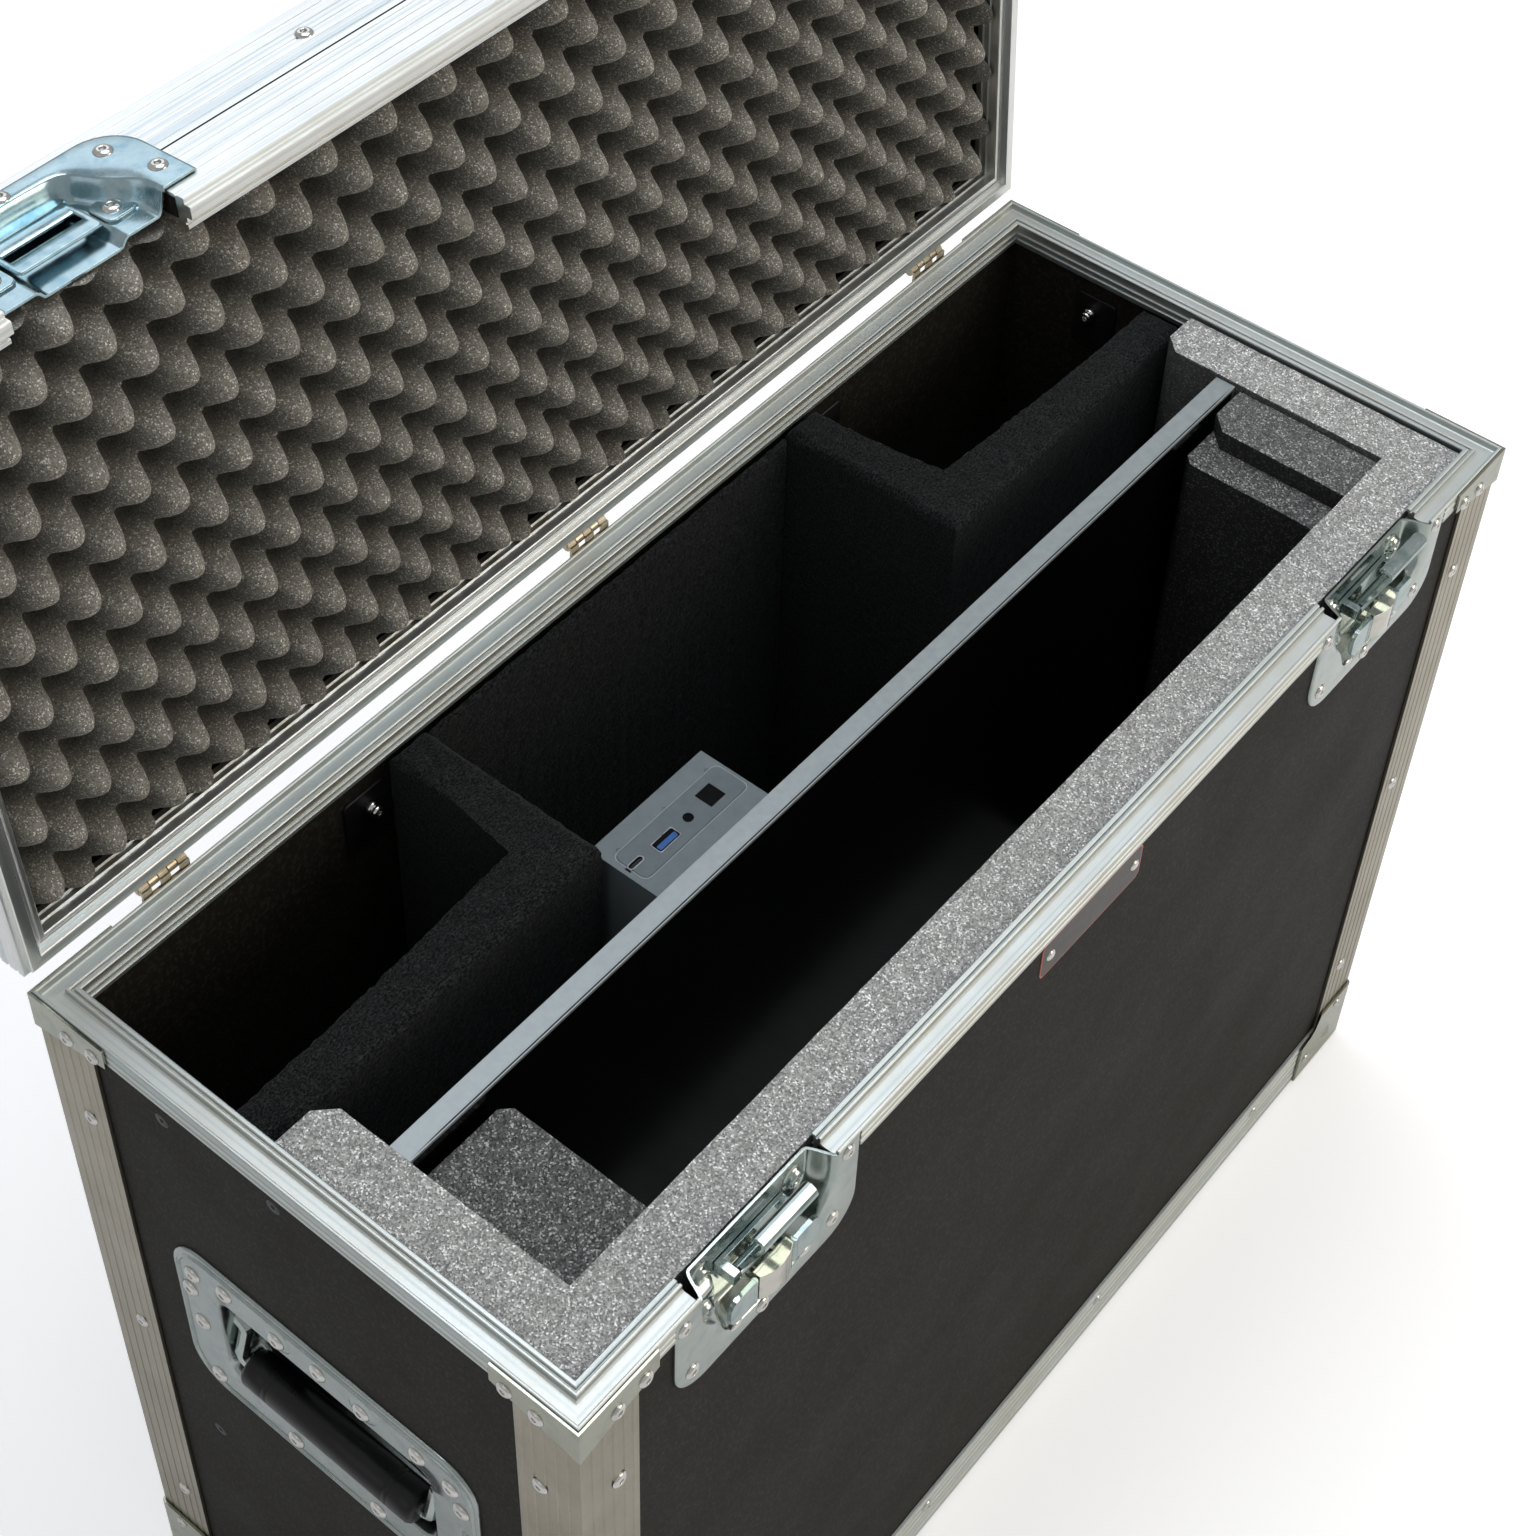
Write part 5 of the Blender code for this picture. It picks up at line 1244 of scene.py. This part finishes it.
# %% [markdown]
# The keepers on the lid are dishes of the same kind as the latch dishes, upside down. The hook
# needs a deep well between two platforms. A riveted tab lies on each platform, beside the
# strike plate.

# %% Keepers
keeper_flange = (58.5 * MM, 48.6 * MM, 19 * MM)
keeper_pan = (42.4 * MM, 49.8 * MM, 9.6 * MM)
keeper_wall_mm = 5.5
keeper_deep = 10.4 * MM
well_half = 21.5 * MM
well_slope = 3.5 * MM
keeper_face_y = -(half_y + 1.8 * MM)
keeper_low = rim_top + 10.0 * MM
keeper_rivets = ((-50.5, 12.5), (50.5, 12.5), (-44.0, 36.5), (44.0, 36.5), (0.0, 44.0))
tab_half_mm = (7.6, 7.5)
tab_rise = 17 * MM
tab_span_mm = (-0.3, 1.5)
upside_down = Matrix.Diagonal((1, -1, 1, 1))


def keeper_depth(x, y):
    return keeper_deep + (well_deep - keeper_deep) * eased((well_half - abs(x)) / well_slope)


for side, x in latch_centres.items():
    stand = front_frame(x, keeper_face_y, keeper_low)
    tab_stand = front_frame(x, keeper_face_y + keeper_deep, keeper_low + tab_rise)
    dish = new_piece(side + "_keeper_pressing",
                     pressed_recess(keeper_flange, keeper_pan, keeper_wall_mm, keeper_depth),
                     lid_zinc, "lid", 50, stand @ upside_down)
    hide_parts(side + "_keeper")
    new_piece(side + "_strike_plate", strike_plate(), lid_zinc, "lid", 40, stand)
    rivet_piece(side + "_keeper_rivets", front_places(stand, keeper_rivets), "lid")
    for label, u in (("_keeper_tab_left", -29.5), ("_keeper_tab_right", 29.5)):
        bevelled_plate(side + label, tab_stand @ Matrix.Translation((u * MM, 0, 0)), tab_half_mm, 3.5,
                       tab_span_mm, lid_zinc, body="lid", edge_mm=0.5)
    tab_rivets = front_places(tab_stand, ((-29, 0), (29, 0)), tab_span_mm[1] * MM)
    rivet_piece(side + "_keeper_tab_rivets", tab_rivets, "lid")
print("keepers", keeper_low / MM - rim_top / MM, "mm above the rim")

# %% [markdown]
# A handle dish is drawn 16 mm deep with steep walls, so that the wire bail has something to turn
# in. Its edge is rolled back like the latch dish's, and a small bead runs along its flange.

# %% Handle pressing
handle_points = 120
handle_half = (92.5 * MM, 57.0 * MM)
handle_lip_half = (65.6 * MM, 32.2 * MM)
handle_deep = 16.0 * MM
handle_wall = 4 * MM
handle_wall_steps = 9
handle_sheet = 0.9 * MM
handle_bead = ((2.4, 0.0), (2.8, 0.7), (3.4, 1.1), (4.0, 0.7), (4.4, 0.0))


def handle_pressing():
    edge = round_loop(*handle_half, 20 * MM, handle_points)
    rings = rolled_rings(edge, handle_half)
    for inset, height in handle_bead:
        rings.append(at_height(drawn_in(edge, inset * MM, *handle_half), height * MM))
    beaded = drawn_in(edge, handle_bead[-1][0] * MM, *handle_half)
    lip = round_loop(*handle_lip_half, 9 * MM, handle_points)
    rings.append(at_height(part_way_line(beaded, lip, 0.5), 0.0))
    for step in range(handle_wall_steps + 1):
        share = step / handle_wall_steps
        rings.append(at_height(drawn_in(lip, handle_wall * share, *handle_lip_half),
                               -handle_deep * eased(share)))
    shape, rows = loft(rings, closed=True, floor=True)
    thickened(shape, handle_sheet)
    return shape


print("handle dishes", handle_deep / MM, "mm deep")

# %% [markdown]
# The flange of a handle dish is riveted all round. Two more rivets sit on raised pads at the
# top, and one end is stiffened by an upright rib.

# %% Handle dishes
handle_rivets = ((-59, 42), (-1, 42), (58, 42), (-80, 36), (-83.5, 21), (77, 38), (82.5, 24.5),
                 (-79.5, -4), (-75, -46), (-25, -47), (27, -47), (75, -47))
pad_rivets = ((-25.5, 42), (26, 42))
pad_height = 0.9 * MM
raised_pad = ((0, 0.9), (4.6, 0.9), (6.2, 0.75), (7.4, 0.3), (8.2, 0.0), (8.2, -0.3), (0, -0.3))
rib_place = Matrix.Translation((83 * MM, 0, 0))
rib_low, rib_high = -47 * MM, 6 * MM
rib_half, rib_height = 3.2 * MM, 1.6 * MM


def rib(low, high, half, height):
    # A long bead with round ends, pressed out of the sheet.
    line = arc_points(0, high - half, half, 0, 180, 10) + arc_points(0, low + half, half, 180, 360, 10)
    line = even_points(line, 48, closed=True)
    rings = []
    for share in (0.0, 0.2, 0.4, 0.6, 0.8):
        rise = height * math.sin(math.pi / 2 * min(share * 1.25, 1.0))
        ring = []
        for x, y in line:
            core = max(low + half, min(high - half, y))
            ring.append((x * (1 - share), core + (y - core) * (1 - share), rise))
        rings.append(ring)
    return loft(rings, closed=True, floor=True)[0]


for side, sign in (("left", -1), ("right", 1)):
    low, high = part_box(side + "_handle_dish")
    face_x = low.x if sign < 0 else high.x
    middle_z = (low.z + high.z) / 2
    stand = Matrix(((0, 0, sign, face_x), (sign, 0, 0, 0), (0, 1, 0, middle_z), (0, 0, 0, 1)))
    outward = (sign, 0, 0)
    dish = new_piece(side + "_handle_pressing", handle_pressing(), handle_zinc, "base",
                     50, stand)
    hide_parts(side + "_handle_dish")
    rivets = [(stand @ Vector((u * MM, v * MM, 0)), outward) for u, v in handle_rivets]
    rivets += [(stand @ Vector((u * MM, v * MM, pad_height)), outward) for u, v in pad_rivets]
    rivet_piece(side + "_handle_rivets", rivets, size=1.2)
    pads = [(stand @ Vector((u * MM, v * MM, 0)), outward) for u, v in pad_rivets]
    boss_piece(side + "_handle_pads", pads, raised_pad, handle_zinc)
    new_piece(side + "_handle_rib", rib(rib_low, rib_high, rib_half, rib_height), handle_zinc,
              "base", 50, stand @ rib_place)
print("rivets on a handle dish", len(handle_rivets) + len(pad_rivets))

# %% [markdown]
# The grip is a soft vinyl sleeve on the bail. It is a turned shape with rounded ends and two
# fine grooves near each end.

# %% Grips
grip_sides = 40
grip_radius = 9.4 * MM
groove_deep = 0.35 * MM
groove_half = 0.7 * MM
groove_ins = (14 * MM, 17 * MM)
for side in ("left", "right"):
    low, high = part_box(side + "_handle_grip")
    half = (high.y - low.y) / 2
    rounded_end = [(0, -half), (grip_radius * 0.62, -half), (grip_radius * 0.9, -half + 0.8 * MM),
                   (grip_radius, -half + 2.6 * MM)]
    profile = list(rounded_end)
    for ring in [-half + way for way in groove_ins] + [half - way for way in groove_ins[::-1]]:
        profile += [(grip_radius, ring - groove_half), (grip_radius - groove_deep, ring),
                    (grip_radius, ring + groove_half)]
    profile += [(radius, -along) for radius, along in rounded_end[::-1]]
    shape = bmesh.new()
    turned_shape(shape, profile, stand_on((low + high) / 2, to_rear), grip_sides)
    grip = new_piece(side + "_grip_sleeve", shape, grip_vinyl, side + "_handle", 50)
    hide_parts(side + "_handle_grip")
print("grips", round(2 * grip_radius / MM, 1), "mm thick")

# %% [markdown]
# The front carries a small dark plate with a thin red border. It is flat, so two thin plates
# are laid on each other, and the upper one is a little smaller. Two domed pins hold it.

# %% Front plate
border_half_mm, ground_half_mm = (39.0, 11.9), (38.1, 11.0)
plate_x, plate_drop = -8.4 * MM, 27.6 * MM
stand = front_frame(plate_x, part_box("front_panel")[0].y, rim_top - plate_drop)
bevelled_plate("name_plate_border", stand, border_half_mm, 3.0, (0.0, 0.5), plate_border)
bevelled_plate("name_plate_ground", stand, ground_half_mm, 2.3, (0.3, 0.58), plate_ground,
               edge_mm=0.08)
pin_dome = ((0, 1.3), (1.0, 1.25), (2.0, 1.0), (2.8, 0.45), (3.1, 0.0), (3.1, -0.2), (0, -0.2))
boss_piece("name_plate_pins", front_places(stand, ((-32.0, 0.3), (33.4, 0.3)), 0.55 * MM), pin_dome,
           rivet_zinc)
print("front plate", 2 * border_half_mm[0], "mm wide")

# %% [markdown]
# Black countersunk screws hold the dividers from outside. They lie almost flush, so only a ring
# round a small pit catches the light. Inside, the carpeted walls end in black brackets with
# bright bolts.

# %% Screws, bolts and brackets
countersunk = ((0, -0.5), (0.9, -0.5), (1.3, 0.12), (3.2, 0.16), (3.9, 0.0), (4.0, -0.3), (0, -0.35))
bolt_head = ((0, 6.6), (1.3, 6.6), (1.5, 8.2), (2.9, 8.2), (3.4, 7.6), (3.5, 6.2), (3.0, 5.6),
             (3.6, 5.0), (4.0, 4.4), (4.0, 2.2), (3.4, 1.6), (5.0, 1.3), (5.0, -0.5), (0, -0.5))
bracket_half_mm = (13, 18)
end_screws_mm = ((80, 27), (14, 24), (-88, 300), (0, 300), (88, 300))
rear_xs_mm, rear_drops_mm = (-144, 144), (60, 250, 440)
end_face_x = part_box("right_panel")[1].x
screw_places = [((sign * end_face_x, y * MM, rim_top - drop * MM), (sign, 0, 0))
                for y, drop in end_screws_mm for sign in (-1, 1)]
screw_places += [((x * MM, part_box("rear_panel")[1].y, rim_top - drop * MM), to_rear)
                 for x in rear_xs_mm for drop in rear_drops_mm]
boss_piece("countersunk_screws", screw_places, countersunk, black_screw)

inner_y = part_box("rear_panel")[0].y
inner_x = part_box("right_panel")[0].x
bolt_places = [((x * MM, inner_y, rim_top - 37 * MM), to_front) for x in (-168, 168)]
bolt_places += [((sign * inner_x, 86 * MM, rim_top - 36 * MM), (-sign, 0, 0)) for sign in (-1, 1)]
boss_piece("divider_bolts", bolt_places, bolt_head, rivet_zinc)
bracket_stands = {}
for label, sign in (("left", -1), ("right", 1)):
    bracket_stands[label + "_divider_bracket"] = front_frame(sign * 170 * MM, inner_y,
                                                             rim_top - 44 * MM)
for label, sign in (("left", -1), ("right", 1)):
    bracket_stands[label + "_wall_bracket"] = Matrix(((0, 0, -sign, sign * inner_x),
                                                      (-sign, 0, 0, 84 * MM),
                                                      (0, 1, 0, rim_top - 43 * MM), (0, 0, 0, 1)))
for name, stand in bracket_stands.items():
    bevelled_plate(name, stand, bracket_half_mm, 2.5, (0.0, 1.6), bracket_black, edge_mm=0.5)
print("screws", len(screw_places), "bolts", len(bolt_places))

# %% [markdown]
# The monitor's port block carries a slightly raised panel with a round audio socket, two plug
# sockets and the button. Each socket is a folded steel shell round a dark mouth with a tongue.
# The mouth is a flat black plate: partly dark plastic and partly painted shade of the opening.
# A fine line of lighter metal runs round the panel as a painted highlight along its edge, and
# three small pips lie behind it.

# %% Ports
port_stand = Matrix.Translation((0, 0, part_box("monitor_housing")[1].z))
panel_stand = port_stand @ Matrix.Translation((-86.2 * MM, 21.3 * MM, 0))
bevelled_plate("port_panel", panel_stand, (35.8, 9.8), 3.0, (-0.3, 0.25), port_panel_abs,
               edge_mm=0.22)


def socket(name, place_mm, half_mm, radius_mm, shell, tongue=None):
    here = port_stand @ Matrix.Translation((place_mm[0] * MM, place_mm[1] * MM, 0.25 * MM))
    wide, deep = half_mm
    outer = round_loop(wide * MM, deep * MM, radius_mm * MM, 48)
    mouth = drawn_in(outer, 0.55 * MM, wide * MM, deep * MM)
    shape, rows = loft([at_height(line, height * MM) for line, height in (
        (outer, -0.1), (outer, 0.3), (mouth, 0.3), (mouth, 0.02))], closed=True)
    new_piece(name + "_shell", shape, shell, "base", 30, here)
    # Partly painted shade: a flat black plate stands for the socket's dark opening.
    bevelled_plate(name + "_mouth", here, (wide - 0.5, deep - 0.5), max(radius_mm - 0.5, 0.3),
                   (-0.1, 0.04), button_abs, edge_mm=0.03)
    if tongue is not None:
        lower = here @ Matrix.Translation((0, -deep * 0.25 * MM, 0))
        bevelled_plate(name + "_tongue", lower, (wide - 1.3, deep * 0.42), 0.4, (0.0, 0.24), tongue,
                       edge_mm=0.1)


socket("wide_socket", (-99.2, 19.6), (7.4, 3.5), 0.8, port_steel, port_blue)
socket("narrow_socket", (-118.0, 21.4), (4.8, 1.9), 1.8, port_steel, bracket_black)
socket("audio_socket", (-82.7, 20.4), (2.6, 2.6), 2.58, button_abs)
# Painted highlight: a ring of lighter metal round the panel's edge.
panel_highlight_line = ((36.6, 10.6, -0.1), (36.6, 10.6, 0.12), (36.2, 10.2, 0.12), (36.2, 10.2, -0.1))
shape, rows = loft([at_height(round_loop(wide * MM, deep * MM, 3.6 * MM, 96), height * MM)
                    for wide, deep, height in panel_highlight_line], closed=True)
new_piece("port_panel_edge_highlight", shape, edge_metal, "base", 30, panel_stand)
pip = ((0, -0.1), (0.7, -0.05), (0.8, 0.06), (0.95, 0.03), (0.95, -0.2), (0, -0.2))
pip_places = [(port_stand @ Vector((x * MM, 32.3 * MM, 0)), (0, 0, 1)) for x in (-117.3, -85.8, -55.6)]
boss_piece("port_pips", pip_places, pip, button_abs)
print("sockets", 3)

# %% [markdown]
# The screen is a sheet of coated glass in the monitor's thin metal frame. Along the top of the
# frame run a fine bright edge line and, behind it, a black gasket.

# %% Screen
glass_inset = 2.0 * MM
glass_thick = 0.6 * MM
low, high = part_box("monitor_frame")
shape = prism([(low.x + glass_inset, low.z + glass_inset), (high.x - glass_inset, low.z + glass_inset),
               (high.x - glass_inset, high.z - glass_inset), (low.x + glass_inset, high.z - glass_inset)],
              -glass_thick, 0)
bmesh.ops.bevel(shape, geom=[e for e in shape.edges if abs(e.verts[0].co.z - e.verts[1].co.z) < 1e-6],
                offset=0.2 * MM, segments=2, affect="EDGES")
new_piece("screen_glass", shape, screen_glass, "base", 40,
          front_frame(0, low.y + 0.15 * MM, 0))
frame_half_mm = (high.x - low.x) / 2 / MM
for label, depth, wide, finish in (("screen_edge_line", 0.35, 0.22, edge_metal),
                                   ("screen_gasket", 0.95, 0.36, bracket_black)):
    stand = Matrix.Translation(((low.x + high.x) / 2, low.y + depth * MM, high.z))
    bevelled_plate(label, stand, (frame_half_mm - 1.5, wide), 0.15, (-0.1, 0.06), finish,
                   edge_mm=0.05)
print("screen", round(2 * frame_half_mm), "mm wide")
